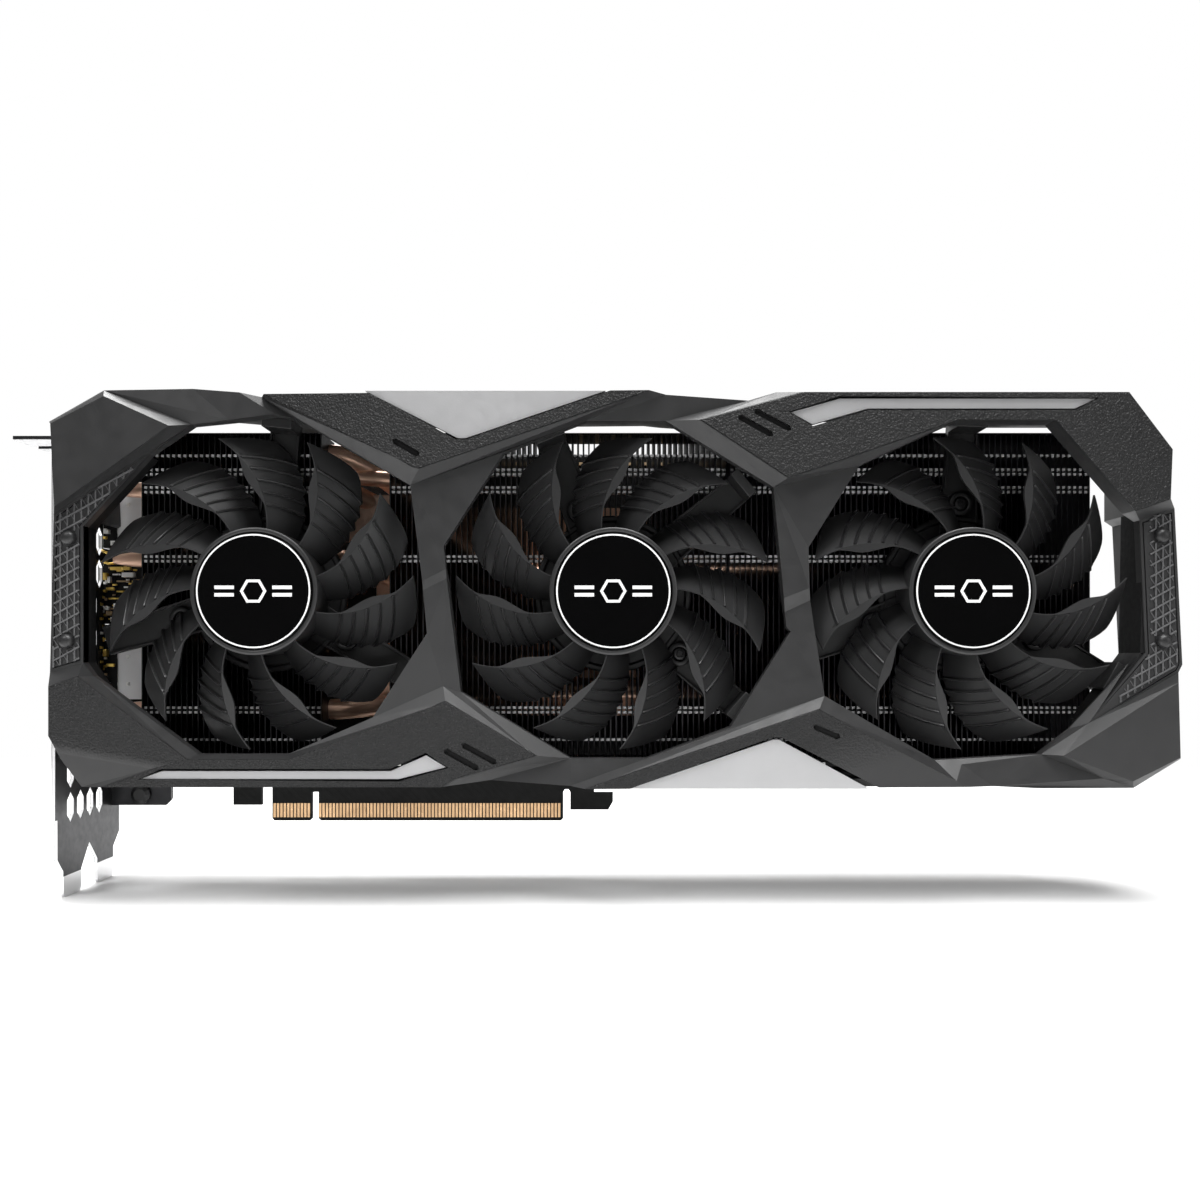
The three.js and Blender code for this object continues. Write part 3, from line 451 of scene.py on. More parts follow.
def dress(node, look, bevel=0.0, smooth=30):
    """Gives a CAD node its material, and rounded edges where wanted."""
    piece = NODES[node]
    piece.data.materials.clear()
    piece.data.materials.append(LOOKS[look])
    soften(piece, bevel, smooth)


def smoothstep(value, low, high):
    """0 below low, 1 above high and an S-curve between them."""
    share = min(max((value - low) / (high - low), 0), 1)
    return share * share * (3 - 2 * share)


# -------- fans

FAN_X = {"left": -42.0, "middle": 50.0, "right": 142.0}
FAN_Z = 64.8
TURN = {"left": 1, "middle": -1, "right": 1}
TIP_ANGLE = {"left": 38.3, "middle": -22.0, "right": 37.5}
FAN_STEPS = 96
# The hub's (radius, depth) profile: a cup, open at the back, with a raised rim round the cap.
HUB_PROFILE = ((0, 41.1), (15.0, 41.1), (15.15, 41.3), (15.25, 41.85), (15.5, 42.0), (16.0, 42.0),
               (16.3, 41.8), (16.4, 41.4), (16.4, 29.5), (15.0, 29.5), (15.0, 39.9), (0, 39.9))

BLADES = 11
BLADE_ROOT = 15.7
BLADE_TIP = 40.7
BLADE_THICK = 0.9
BLADE_RADII = 20
# Stations across the blade: the flat's edge is -1, its fold 0 and the trailing edge 1.
CHORDS = (-1.0, -0.5, 0.0, 0.025, 0.05, 0.09, 0.2, 0.35, 0.5, 0.65, 0.8, 0.9, 0.96, 1.0)
# Degrees that the leading edge sweeps back from tip to root, and how.
SWEEP = 23
SWEEP_POWER = 1.3
ROOT_SWEEP = 2
# Degrees that the blade is wide, and how much of it the tip loses.
BLADE_WIDE = 20.5
TIP_TAPER = 0.1
TIP_POWER = 6
# The radii between which the leading edge carries a flat, and the flat's width at its ends and middle.
FACET = (22.0, 36.2)
FACET_ENDS = 0.25
FACET_WIDE = 2.5
FACET_POWER = 1.6
# Raised arcs on the front, and scallops of the same pitch along the trailing edge.
RIDGES = (22.8, 25.9, 29.0, 32.1, 35.2)
RIDGE_HALF = 0.42
RIDGE_TALL = 0.95
RIDGE_START = 0.025
RIDGE_FADE = 0.03
SCALLOP = 0.55
SCALLOP_FROM = 0.9
SCALLOP_MARGIN = 1.5
# The leading edge's depth, the fall to the trailing edge, the tip's share of it and the bulge on the way.
LEAD_DEPTH = 40.6
BLADE_FALL = 9.7
TIP_FALL = 0.12
BULGE = 0.22
# How far the outer trailing corner is rounded off.
CORNER_CUT = 0.7


def blade_front(x, turn, tip_angle, radii):
    """The front of one leaf-shaped blade as rows of (x, depth, z, rise of the ridge there)."""
    front = []
    for radius in radii:
        span = (radius - BLADE_ROOT) / (BLADE_TIP - BLADE_ROOT)
        lead = SWEEP * span ** SWEEP_POWER - ROOT_SWEEP * (1 - span) - SWEEP
        width = BLADE_WIDE * (1 - TIP_TAPER * span ** TIP_POWER)
        share = min(max((radius - FACET[0]) / (FACET[1] - FACET[0]), 0), 1)
        flat = FACET_ENDS + (FACET_WIDE - FACET_ENDS) * math.sin(math.pi * share) ** FACET_POWER
        ridge = max(0.0, 1 - min(abs(radius - r) / RIDGE_HALF for r in RIDGES) ** 2)
        scalloped = RIDGES[0] - SCALLOP_MARGIN < radius < RIDGES[-1] + SCALLOP_MARGIN
        for chord in CHORDS:
            across = max(chord, 0.0)
            angle = lead - width * across
            if chord < 0:
                angle += math.degrees(flat / radius) * -chord
            if across > SCALLOP_FROM and scalloped:
                wave = SCALLOP * math.cos(2 * math.pi * (radius - RIDGES[0]) / (RIDGES[1] - RIDGES[0]))
                angle -= math.degrees(wave / radius) * (across - SCALLOP_FROM) / (1 - SCALLOP_FROM)
            fall = TIP_FALL * span + (1 - TIP_FALL) * (across + BULGE * across * (1 - across))
            rise = RIDGE_TALL * ridge * min(max((across - RIDGE_START) / RIDGE_FADE, 0), 1)
            reach = radius - CORNER_CUT * (across * span) ** TIP_POWER
            turned = math.radians(tip_angle + turn * angle)
            front.append((x + reach * math.cos(turned), LEAD_DEPTH - BLADE_FALL * fall + rise,
                          FAN_Z + reach * math.sin(turned), rise))
    return front


def sheet_faces(rows, columns):
    """The faces of a sheet with a front and a back grid of points, closed round its rim."""
    back = rows * columns
    faces = []
    for row in range(rows - 1):
        for column in range(columns - 1):
            a = row * columns + column
            b = a + 1
            c = b + columns
            d = a + columns
            faces.append([a, b, c, d])
            faces.append([back + d, back + c, back + b, back + a])
    rim = [row * columns for row in range(rows)]
    rim += [(rows - 1) * columns + column for column in range(1, columns)]
    rim += [row * columns + columns - 1 for row in range(rows - 2, -1, -1)]
    rim += [column for column in range(columns - 2, 0, -1)]
    for start, end in zip(rim, rim[1:] + rim[:1]):
        faces.append([start, end, back + end, back + start])
    return faces


def blade(x, turn, tip_angle):
    """One blade: a flat lens along the leading edge, raised arcs and a scalloped trailing edge."""
    radii = set(np.linspace(BLADE_ROOT, BLADE_TIP, BLADE_RADII))
    for ridge in RIDGES:
        radii.update(ridge + RIDGE_HALF * share for share in (-1, -0.6, 0, 0.6, 1))
    front = blade_front(x, turn, tip_angle, sorted(radii))
    verts = [point[:3] for point in front]
    verts += [(px, depth - BLADE_THICK - rise, pz) for px, depth, pz, rise in front]
    return verts, sheet_faces(len(radii), len(CHORDS))


def rotor(side):
    """The hub cup and its eleven blades."""
    x = FAN_X[side]
    shape = Shape()
    shape.add(lathe(HUB_PROFILE, x, FAN_Z, FAN_STEPS, closed=False), "fan")
    for index in range(BLADES):
        shape.add(blade(x, TURN[side], TIP_ANGLE[side] + index * 360 / BLADES), "fan")
    make(f"{side}_rotor_shell", shape, f"{side}_rotor", replaces=[f"{side}_fan_rotor"], smooth=40)


# The cap, its printed ring and its mark: a hexagon between two pairs of bars.
CAP_PROFILE = ((0, 41.4), (14.95, 41.4), (14.95, 42.05), (14.8, 42.2), (0, 42.25))
RING_PROFILE = ((14.2, 42.15), (14.6, 42.15), (14.6, 42.26), (14.2, 42.27))
PRINT_DEPTHS = (42.2, 42.3)
HEXAGON = (2.6, 3.4)
BAR_START = 4.9
BAR_LONG = 5.0
BAR_RISE = 0.95
BAR_HALF = 0.45


def badge(side):
    """A glossy cap with a printed white ring and a plain generic mark."""
    x = FAN_X[side]
    rear, front = PRINT_DEPTHS
    inner, outer = HEXAGON
    shape = Shape()
    shape.add(lathe(CAP_PROFILE, x, FAN_Z, FAN_STEPS, closed=False), "cap")
    shape.add(lathe(RING_PROFILE, x, FAN_Z, FAN_STEPS), "print")
    shape.add(lathe([(inner, rear), (outer, rear), (outer, front), (inner, front)], x, FAN_Z, 6), "print")
    for sign in (-1, 1):
        middle = x + sign * (BAR_START + BAR_LONG / 2)
        for rise in (BAR_RISE, -BAR_RISE):
            shape.add(cuboid(middle, FAN_Z + rise, BAR_LONG, 2 * BAR_HALF, rear, front), "print")
    make(f"{side}_hub_cap", shape, f"{side}_rotor", replaces=[f"{side}_fan_badge"], smooth=30)


ARM_ANGLES = {"left": (84, 196, 330), "middle": (112, 40, 318), "right": (88, 330, 200)}
# This arm ends behind the side panel, where its foot would stand free.
HIDDEN_FOOT = ("left", 196)
# The round plate behind the hub.
PLATE_PROFILE = ((1.8, 26.6), (20.4, 26.6), (21.0, 27.0), (21.0, 28.4), (20.6, 28.9), (19.6, 28.9),
                 (19.2, 27.8), (1.8, 27.8))
# Half an arm's outline as (along, across) from the fan's axis, and its depths; then its foot and edge ribs.
ARM_EDGE = ((10, 5.2), (45.5, 3.9))
ARM_DEPTHS = (26.65, 28.2)
FOOT_START = 43
FOOT_DEPTHS = (27.2, 37.5)
ARM_RIB = ((19, 4.8), (44, 3.9), (44, 3.3), (19, 4.2))
ARM_RIB_DEPTHS = (28.0, 29.3)
BOSS_ALONG = 24
BOSS_PROFILE = ((1.9, 28.0), (3.2, 28.0), (3.2, 29.8), (2.9, 30.0), (2.1, 30.0), (1.9, 29.8))
FAN_SCREW_PROFILE = ((0, 28.3), (1.6, 28.3), (1.75, 28.9), (1.5, 29.4), (0.9, 29.5), (0.7, 29.0), (0, 29.0))


def on_arm(side, degrees, corners):
    """The (x, z) points of (along, across) corners on a fan's arm."""
    cos = math.cos(math.radians(degrees))
    sin = math.sin(math.radians(degrees))
    return [(FAN_X[side] + along * cos - across * sin, FAN_Z + along * sin + across * cos)
            for along, across in corners]


def fan_frame(side):
    """The round plate behind a hub with its three arms, and a screw in each arm."""
    shape = Shape()
    shape.add(lathe(PLATE_PROFILE, FAN_X[side], FAN_Z, 72), "frame")
    screws = Shape()
    (near, near_half), (far, far_half) = ARM_EDGE
    arm = ((near, -near_half), (far, -far_half), (far, far_half), (near, near_half))
    foot = ((FOOT_START, -far_half), (far, -far_half), (far, far_half), (FOOT_START, far_half))
    for degrees in ARM_ANGLES[side]:
        shape.add(prism(on_arm(side, degrees, arm), *ARM_DEPTHS), "frame")
        if (side, degrees) != HIDDEN_FOOT:
            shape.add(prism(on_arm(side, degrees, foot), *FOOT_DEPTHS), "frame")
        for sign in (-1, 1):
            rib = [(along, sign * across) for along, across in ARM_RIB]
            shape.add(prism(on_arm(side, degrees, rib), *ARM_RIB_DEPTHS), "frame")
        boss_x, boss_z = on_arm(side, degrees, [(BOSS_ALONG, 0)])[0]
        shape.add(lathe(BOSS_PROFILE, boss_x, boss_z, 28), "frame")
        screws.add(lathe(FAN_SCREW_PROFILE, boss_x, boss_z, 20, closed=False), "screw")
    make(f"{side}_fan_spider", shape, CARD, replaces=[f"{side}_fan_frame"], bevel=0.25, smooth=35)
    make(f"{side}_fan_screws", screws, CARD, smooth=35)


for name in SIDES:
    rotor(name)
    badge(name)
    fan_frame(name)
    dress(f"{name}_fan_stator", "stator")
    dress(f"{name}_fan_magnet_ring", "magnet")
    dress(f"{name}_fan_shaft", "shaft")


# -------- shroud and trim

dress("shroud_frame", "shroud", bevel=0.35, smooth=12)

# The short slanted grooves in the arms, each from one (x, z) end to the other.
GROOVES = (((-6, 103), (1, 99)), ((7, 24.5), (16, 19.5)), ((11.5, 26), (20.5, 21)),
           ((81.5, 109), (90.5, 104)), ((85.5, 110.5), (95, 105.5)), ((100.5, 30.5), (107.5, 27.5)))
GROOVE_HALF = 0.55
GROOVE_END = 0.6
GROOVE_DEPTHS = (43.6, 44.15)


def groove_floors():
    """Floors of the short slanted grooves in the four arms, near black as painted shade."""
    shape = Shape()
    for (x0, z0), (x1, z1) in GROOVES:
        share = GROOVE_END / math.hypot(x1 - x0, z1 - z0)
        start = (x0 + (x1 - x0) * share, z0 + (z1 - z0) * share)
        end = (x1 - (x1 - x0) * share, z1 - (z1 - z0) * share)
        shape.add(prism(strip(start, end, -GROOVE_HALF, GROOVE_HALF), *GROOVE_DEPTHS), "lip")
    make("groove_floors", shape, CARD, smooth=0)


groove_floors()
for name in ("silver_insert_top", "silver_insert_bottom", "silver_strip_top", "silver_strip_bottom"):
    dress(name, "silver", bevel=0.2)

for name in ("side_panel_left", "side_panel_right"):
    dress(name, "panel", bevel=0.1)

# Where ribs cover each side panel.
PANEL_OUTLINES = {
    "left": ((-92.9, 84.2), (-93.6, 45.2), (-86.9, 47.4), (-86.9, 81.8), (-71.2, 98.2)),
    "right": ((187.6, 84.3), (187.8, 49.4), (177.5, 34.6), (193.9, 45.6), (194.6, 46.8), (192.9, 84.6)),
}
PANEL_FACE = 41.0
# Families of ribs: (angle in degrees, pitch, half width, rise).
RIB_FAMILIES = ((90, 1.8, 0.14, 0.42), (29, 2.55, 0.17, 0.55), (-58, 2.3, 0.08, 0.2))
RIBS_EACH_WAY = 30
RIB_SUNK = 0.1
SHORTEST_RIB = 0.8
PANEL_SCREWS = ((-89.5, 78.5), (-90, 52), (190.5, 79), (191, 52))
SCREW_ROOM = 2.4
PARALLEL = 1e-9


def crossings(outline, origin, direction):
    """The stretches of a straight line that lie inside an outline, as pairs of distances along the line."""
    hits = []
    for (x0, z0), (x1, z1) in zip(outline, outline[1:] + outline[:1]):
        edge = (x1 - x0, z1 - z0)
        bottom = direction[0] * edge[1] - direction[1] * edge[0]
        if abs(bottom) < PARALLEL:
            continue
        gap = (x0 - origin[0], z0 - origin[1])
        share = (gap[0] * direction[1] - gap[1] * direction[0]) / bottom
        if 0 <= share < 1:
            hits.append((gap[0] * edge[1] - gap[1] * edge[0]) / bottom)
    hits.sort()
    return list(zip(hits[::2], hits[1::2]))


def clear_of_screws(origin, along, start, end):
    """The parts of a stretch of rib that keep SCREW_ROOM away from the dome screws."""
    parts = [(start, end)]
    for x, z in PANEL_SCREWS:
        middle = (x - origin[0]) * along[0] + (z - origin[1]) * along[1]
        aside = (x - origin[0]) * along[1] - (z - origin[1]) * along[0]
        if abs(aside) >= SCREW_ROOM:
            continue
        half = math.sqrt(SCREW_ROOM ** 2 - aside ** 2)
        before = [(low, min(high, middle - half)) for low, high in parts]
        after = [(max(low, middle + half), high) for low, high in parts]
        parts = before + after
    return [(low, high) for low, high in parts if high - low >= SHORTEST_RIB]


def lattice(side):
    """Raised ribs in three directions that cover a side panel, with room left round its screws; their lighter
    plastic is a painted highlight.
    """
    outline = list(PANEL_OUTLINES[side])
    centre = (sum(x for x, z in outline) / len(outline), sum(z for x, z in outline) / len(outline))
    shape = Shape()
    for degrees, pitch, half, rise in RIB_FAMILIES:
        angle = math.radians(degrees)
        along = (math.cos(angle), math.sin(angle))
        across = (-along[1], along[0])
        depths = (PANEL_FACE - RIB_SUNK, PANEL_FACE + rise)
        for index in range(-RIBS_EACH_WAY, RIBS_EACH_WAY + 1):
            origin = (centre[0] + across[0] * index * pitch, centre[1] + across[1] * index * pitch)
            stretches = crossings(outline, origin, along)
            for start, end in [part for pair in stretches for part in clear_of_screws(origin, along, *pair)]:
                first = (origin[0] + start * along[0], origin[1] + start * along[1])
                last = (origin[0] + end * along[0], origin[1] + end * along[1])
                shape.add(prism(strip(first, last, -half, half), *depths), "rib")
    make(f"lattice_{side}", shape, CARD, smooth=0)


lattice("left")
lattice("right")

# The inner wall beside each side panel: its rear depth and the (x, z) corners it follows.
LIPS = {
    "left": (33.6, ((-79.6, 37.4), (-86.0, 46.5), (-86.0, 81.5), (-69.4, 99.6))),
    "right": (28.5, ((186.0, 85.4), (185.4, 49.0), (172.6, 31.6))),
}
LIP_FRONT = 40.6
LIP_THICK = 1.4


def opening_lip(side):
    """The inner wall of an outer opening beside its side panel, which reaches further back than the rest; it
    is near black as painted shade.
    """
    rear, corners = LIPS[side]
    shape = Shape()
    for start, end in zip(corners, corners[1:]):
        shape.add(prism(strip(start, end, 0, LIP_THICK), rear, LIP_FRONT), "lip")
    make(f"{side}_opening_lip", shape, CARD, smooth=0)


for name in LIPS:
    opening_lip(name)

DOME_PROFILE = ((0, 37.9), (0.85, 37.9), (0.85, 41.1), (1.9, 41.1), (1.9, 41.75), (1.75, 42.25), (1.4, 42.7),
                (0.9, 43.0), (0, 43.1))


def panel_screw(index, x, z):
    """A plain domed screw with a thin collar."""
    shape = Shape()
    shape.add(lathe(DOME_PROFILE, x, z, 30, closed=False), "screw")
    make(f"dome_screw_{index}", shape, CARD, replaces=[f"panel_screw_{index}"])


for number, (screw_x, screw_z) in enumerate(PANEL_SCREWS, 1):
    panel_screw(number, screw_x, screw_z)


# -------- cooler

# The x limits of each stack of fins; then the fins' limits along z and depth.
STACKS = {"left": (-77.1, -28.5), "middle": (-10.2, 80.9), "right": (81.3, 178.8)}
FIN_HEIGHTS = (20.0, 108.4)
FIN_DEPTHS = (11.4, 26.0)
FIN_PITCH = 1.5
FIN_THICK = 0.3
FIN_OVERLAP = 0.05
# Rows of bright bars between the fins, painted highlights of the heat pipes behind them: (height, bars one
# above the other).
HIGHLIGHT_ROWS = ((102.4, 1), (98.0, 2), (93.2, 2), (74.5, 2), (33.6, 2), (25.6, 1))
HIGHLIGHT_PITCH = 1.25
HIGHLIGHT_HALF = 0.32
HIGHLIGHT_GAP = 0.15
HIGHLIGHT_DEPTHS = (22.5, 25.3)


def fin_stack(side):
    """Thin fins, near black as painted shade, with folded lips along the top and bottom, and rows of bright
    bars between them that paint the heat pipes' highlights.
    """
    left, right = STACKS[side]
    bottom, top = FIN_HEIGHTS
    count = round((right - left - FIN_THICK) / FIN_PITCH)
    step = (right - left - FIN_THICK) / count
    shape = Shape()
    for index in range(count + 1):
        x = left + index * step
        shape.add(brick((x, x + FIN_THICK), FIN_HEIGHTS, FIN_DEPTHS), "fins")
        if index == count:
            break
        fold = (x + FIN_THICK - FIN_OVERLAP, x + step + FIN_OVERLAP)
        for low in (bottom, top - FIN_THICK):
            shape.add(brick(fold, (low, low + FIN_THICK), FIN_DEPTHS), "fins")
        highlight_x = (x + FIN_THICK + HIGHLIGHT_GAP, x + step - HIGHLIGHT_GAP)
        # Each bar is a painted highlight of a heat pipe seen between two fins.
        for row, tall in HIGHLIGHT_ROWS:
            for dash in range(tall):
                middle = row + (dash - (tall - 1) / 2) * HIGHLIGHT_PITCH
                shape.add(brick(highlight_x, (middle - HIGHLIGHT_HALF, middle + HIGHLIGHT_HALF), HIGHLIGHT_DEPTHS), "bright")
    make(f"{side}_fins", shape, CARD, replaces=[f"fin_stack_{side}"], smooth=0)


for name in SIDES:
    fin_stack(name)

# Each heat pipe's height in the left fins and on the base plate.
PIPE_ROWS = ((104.2, 71), (94.4, 63), (75.1, 55), (54, 47), (33.4, 39))
PIPE_R = 2.9
ROW_DEPTH = 16
BASE_DEPTH = 7.7
# The crimped left end: (x, radius), where a pair is a radius across and a radius up.
CRIMPED_END = ((-89.0, (0.5, 1.0)), (-88.4, (0.8, 1.3)), (-84.5, (1.8, 1.9)), (-80, (2.3, 2.3)),
               (-76, PIPE_R))
# The bend runs between the first two x, and has dropped to the base plate at the third.
BEND_START = -28
BEND_END = 24
DROP_END = -11
BEND_STEPS = 22
PIPE_END = 176


def heat_pipe(index, row, base):
    """A straight run through the left fins, a double bend down to the base plate, and a crimped left end."""
    path = [(x, ROW_DEPTH, row) for x, radius in CRIMPED_END]
    radii = [radius for x, radius in CRIMPED_END]
    for share in np.linspace(0, 1, BEND_STEPS):
        x = BEND_START + (BEND_END - BEND_START) * share
        depth = ROW_DEPTH + (BASE_DEPTH - ROW_DEPTH) * smoothstep(x, BEND_START, DROP_END)
        path.append((x, depth, row + (base - row) * smoothstep(x, BEND_START, BEND_END)))
    path.append((PIPE_END, BASE_DEPTH, base))
    radii += [PIPE_R] * (len(path) - len(radii))
    shape = Shape()
    shape.add(tube(path, radii, 20), "copper")
    make(f"pipe_{index}", shape, CARD, replaces=[f"heat_pipe_{index}"], smooth=40)


for number, (row_z, base_z) in enumerate(PIPE_ROWS, 1):
    heat_pipe(number, row_z, base_z)

# The pressed copper between the left and the middle fins, and two bends that pass above and below it.
BRIDGE_OUTLINE = ((-26.5, 81), (-23.4, 83.6), (-24.8, 87.4), (-21.6, 90.2), (-22.4, 93.4), (-11, 93.6),
                  (-11, 80.5), (-15, 77.4), (-19, 78.6))
BRIDGE_DEPTHS = (9.2, 13.2)
UPPER_BEND = ((-28.2, 12.4, 98.6), (-19, 12.6, 98.4), (-10.4, 12.4, 97.8))
UPPER_RADII = (2.2, 2.3, 2.2)
LOWER_BEND = ((-28.2, 13.6, 51.2), (-20, 13.6, 50.8), (-10.4, 13.0, 49.6))
LOWER_RADII = (2.0, 2.1, 2.0)


def cooler_bridge():
    """The flattened, rough pipe bends that show between the left and the middle fins."""
    shape = Shape()
    shape.add(prism(BRIDGE_OUTLINE, *BRIDGE_DEPTHS), "rough_copper")
    shape.add(tube(UPPER_BEND, UPPER_RADII, 16), "copper")
    shape.add(tube(LOWER_BEND, LOWER_RADII, 16), "copper")
    make("pipe_bends", shape, CARD, bevel=0.25, smooth=40)


cooler_bridge()
dress("base_plate", "copper", bevel=0.2)


# -------- board, sockets, bracket and back plate

# The look and the edge rounding of each node that is the CAD model's own.
BOARD_LOOKS = {
    "circuit_board": ("board", 0.08),
    "gpu_package": ("chip", 0.1),
    "display_port_1": ("port", 0.15),
    "display_port_2": ("port", 0.15),
    "display_port_3": ("socket", 0.15),
    "display_port_4": ("port", 0.15),
    "power_socket_1": ("socket", 0.2),
    "power_socket_2": ("socket", 0.2),
    "io_bracket": ("bracket", 0.15),
    "bracket_screw": ("screw", 0.2),
    "backplate": ("backplate", 0.25),
}

for name, (node_look, node_bevel) in BOARD_LOOKS.items():
    dress(name, node_look, bevel=node_bevel)
for number in range(1, 9):
    dress(f"memory_chip_{number}", "chip", bevel=0.1)

PORT_HEIGHTS = (22.3, 44.1, 65.9, 87.7)
# A socket's tongue and the contacts on both its faces.
TONGUE_X = (-95.6, -87.2)
TONGUE_HALF = 5.6
TONGUE_DEPTHS = (2.4, 3.7)
PIN_X = (-95.3, -88)
PIN_FIRST = 4.95
PIN_PITCH = 1.1
PIN_HALF = 0.25
PIN_DEPTHS = ((3.65, 3.8), (2.3, 2.45))
# The latch springs above and below the middle of a socket's shell, and their tabs: (x, depths, look).
LATCH_OFF = 3.9
LATCH_HALF = 0.5
LATCH_PARTS = (((-93.6, -88.6), (6.55, 6.75), "port"), ((-89.3, -88.3), (6.5, 7.0), "solder"))


def port_details():
    """Tongues inside the display sockets, with their contacts, and the latch springs on each shell."""
    shape = Shape()
    for z in PORT_HEIGHTS:
        shape.add(brick(TONGUE_X, (z - TONGUE_HALF, z + TONGUE_HALF), TONGUE_DEPTHS), "socket")
        for index in range(10):
            at = z - PIN_FIRST + index * PIN_PITCH
            for depths in PIN_DEPTHS:
                shape.add(brick(PIN_X, (at - PIN_HALF, at + PIN_HALF), depths), "gold")
        for sign in (-1, 1):
            heights = (z + sign * LATCH_OFF - LATCH_HALF, z + sign * LATCH_OFF + LATCH_HALF)
            for xs, depths, look in LATCH_PARTS:
                shape.add(brick(xs, heights, depths), look)
    make("port_tongues", shape, CARD, smooth=0)


# Groups of small parts beside the display sockets: (x, z) of each group, and what each group holds.
GROUPS = ((-82.6, 97.2), (-82.9, 76.8), (-82.4, 55.2), (-82.8, 33.4), (-82.5, 14.2))
GROUP_KINDS = ("ceramic", "solder", "brass", "solder")
GROUP_LOW = 1.8
GROUP_PITCH = 1.3
GROUP_STAGGER = 2.4
# Nine gold leads behind each socket.
LEAD_X = (-84.7, -83.1)
LEAD_FIRST = 6.4
LEAD_PITCH = 1.6
LEAD_HALF = 0.28
LEAD_TALL = 0.5
# Columns of power parts: x of chokes, chips and cans, lowest z, pitch, count, and with solder or not.
POWER_COLUMNS = ((-58, -49, -67, 26, 11, 7, True), (76, 85, 96, 30, 13, 5, False))
CHOKE = (7.4, 7.4, 0.0, 5.0)
CHOKE_SOLDER = (3.2, 7.9, 0.0, 1.0)
POWER_CHIP = (5.0, 6.0, 0.0, 0.9)
CHIP_LEG_OFF = 3.2
CHIP_LEG = (1.0, 0.5, 0.0, 0.35)
CHIP_LEG_FIRST = 2.1
CHIP_LEG_PITCH = 1.4
CAN_PROFILE = ((0, 0), (2.5, 0), (2.5, 5.2), (2.1, 5.6), (0, 5.6))
# Resistors and capacitors along the bottom and the top of the board.
EDGE_FIRST = -60
EDGE_PITCH = 4.6
EDGE_COUNT = 46


def power_column(shape, choke_x, chip_x, can_x, lowest, pitch, count, soldered):
    """Chokes, driver chips and capacitor cans, one above the other."""
    for index in range(count):
        z = lowest + index * pitch
        shape.add(cuboid(choke_x, z, *CHOKE), "choke")
        if soldered:
            shape.add(cuboid(choke_x, z, *CHOKE_SOLDER), "solder")
        shape.add(cuboid(chip_x, z, *POWER_CHIP), "chip")
        for step in range(4 if soldered else 0):
            at = z - CHIP_LEG_FIRST + step * CHIP_LEG_PITCH
            shape.add(cuboid(chip_x + CHIP_LEG_OFF, at, *CHIP_LEG), "solder")
        shape.add(lathe(CAN_PROFILE, can_x, z, 20, closed=False), "bright")


def small_parts():
    """Small parts and gold leads behind the display sockets, and power parts round the processor."""
    shape = Shape()
    for across, z in GROUPS:
        for index, kind in enumerate(GROUP_KINDS):
            x = across + (index % 2) * GROUP_STAGGER
            at = z - GROUP_LOW + index * GROUP_PITCH
            shape.add(cuboid(x, at, 1.6, 0.8, 0.0, 0.8), "solder")
            shape.add(cuboid(x, at, 0.9, 0.84, 0.0, 0.9), kind)
    for z in PORT_HEIGHTS:
        for index in range(9):
            lead = z - LEAD_FIRST + index * LEAD_PITCH
            shape.add(brick(LEAD_X, (lead - LEAD_HALF, lead + LEAD_HALF), (0.0, LEAD_TALL)), "brass")
    for column in POWER_COLUMNS:
        power_column(shape, *column)
    for index in range(EDGE_COUNT):
        x = EDGE_FIRST + index * EDGE_PITCH
        shape.add(cuboid(x, 14.6, 1.6, 0.8, 0.0, 0.7), "ceramic")
        shape.add(cuboid(x + 1.9, 16.4, 0.8, 1.5, 0.0, 0.6), "solder")
        shape.add(cuboid(x, 104.4, 1.6, 0.8, 0.0, 0.7), "ceramic")
    make("small_parts", shape, CARD, smooth=30)


# A grounding spring above and below each socket: (x, depth, how far it sags) of its points.
SPRING_OFF = 9.4
SPRING = ((-95.6, 8.2, 0), (-94.8, 9.0, 0.3), (-93.6, 8.6, 0.8), (-92.4, 7.2, 0.5), (-91.6, 6.9, 0))
SPRING_R = 0.35
# Beside each socket: (x, height above its middle, width, height, rear, front, look).
SOCKET_BITS = ((-94.3, -4, 1.4, 1.1, 6.6, 8.8, "solder"), (-93.4, 1.5, 2.2, 0.8, 6.6, 8.2, "brass"),
               (-94.5, 5, 1.0, 2.0, 6.6, 9.2, "brass"), (-92.8, -7.2, 1.2, 1.3, 6.6, 7.9, "solder"))
# A ladder of six parts beside each socket: x, lowest (below the middle), pitch, and their looks.
LADDER_X = -94.9
LADDER_LOW = 6
LADDER_PITCH = 2.3
LADDER_STAGGER = 0.3
LADDER_FRONT = 8.4
LADDER_LOOKS = ("brass", "solder", "ceramic")
COVER_X = (-95.6, -91.9)
COVER_HALF = 8.5
COVER_DEPTHS = (6.4, 7.3)
# Dark plates behind the gold and bright parts; the second closes the vents below the third socket.
GAP_PLATE = ((-92.4, -85.0), (57.4, 74.4), (6.4, 6.9))
VENT_PLATE = ((-95.7, -95.2), (38, 66.8), (7.3, 11.6))
# A row of finger springs up the vent plate.
FINGER_X = (-95.25, -94.9)
FINGER_FIRST = 40
FINGER_PITCH = 2.05
FINGER_TALL = 0.75
FINGER_DEPTH = 8
FINGER_STAGGER = 0.9
FINGER_LONG = (1.1, 1.9, 0.7, 1.5)
FINGER_LOOKS = ("brass", "solder", "brass")
# Leads in two uneven columns across the gap plate.
GAP_FIRST = 58.6
GAP_PITCH = 0.98
GAP_LEFT = -94.2
GAP_STAGGER = 1.3
GAP_LONG = (1.2, 3.4, 0.8, 2.2, 1.6)
GAP_LOOKS = ("brass", "solder", "brass", "ceramic")
GAP_REAR = 6.8
SECOND_COLUMN = 4.4
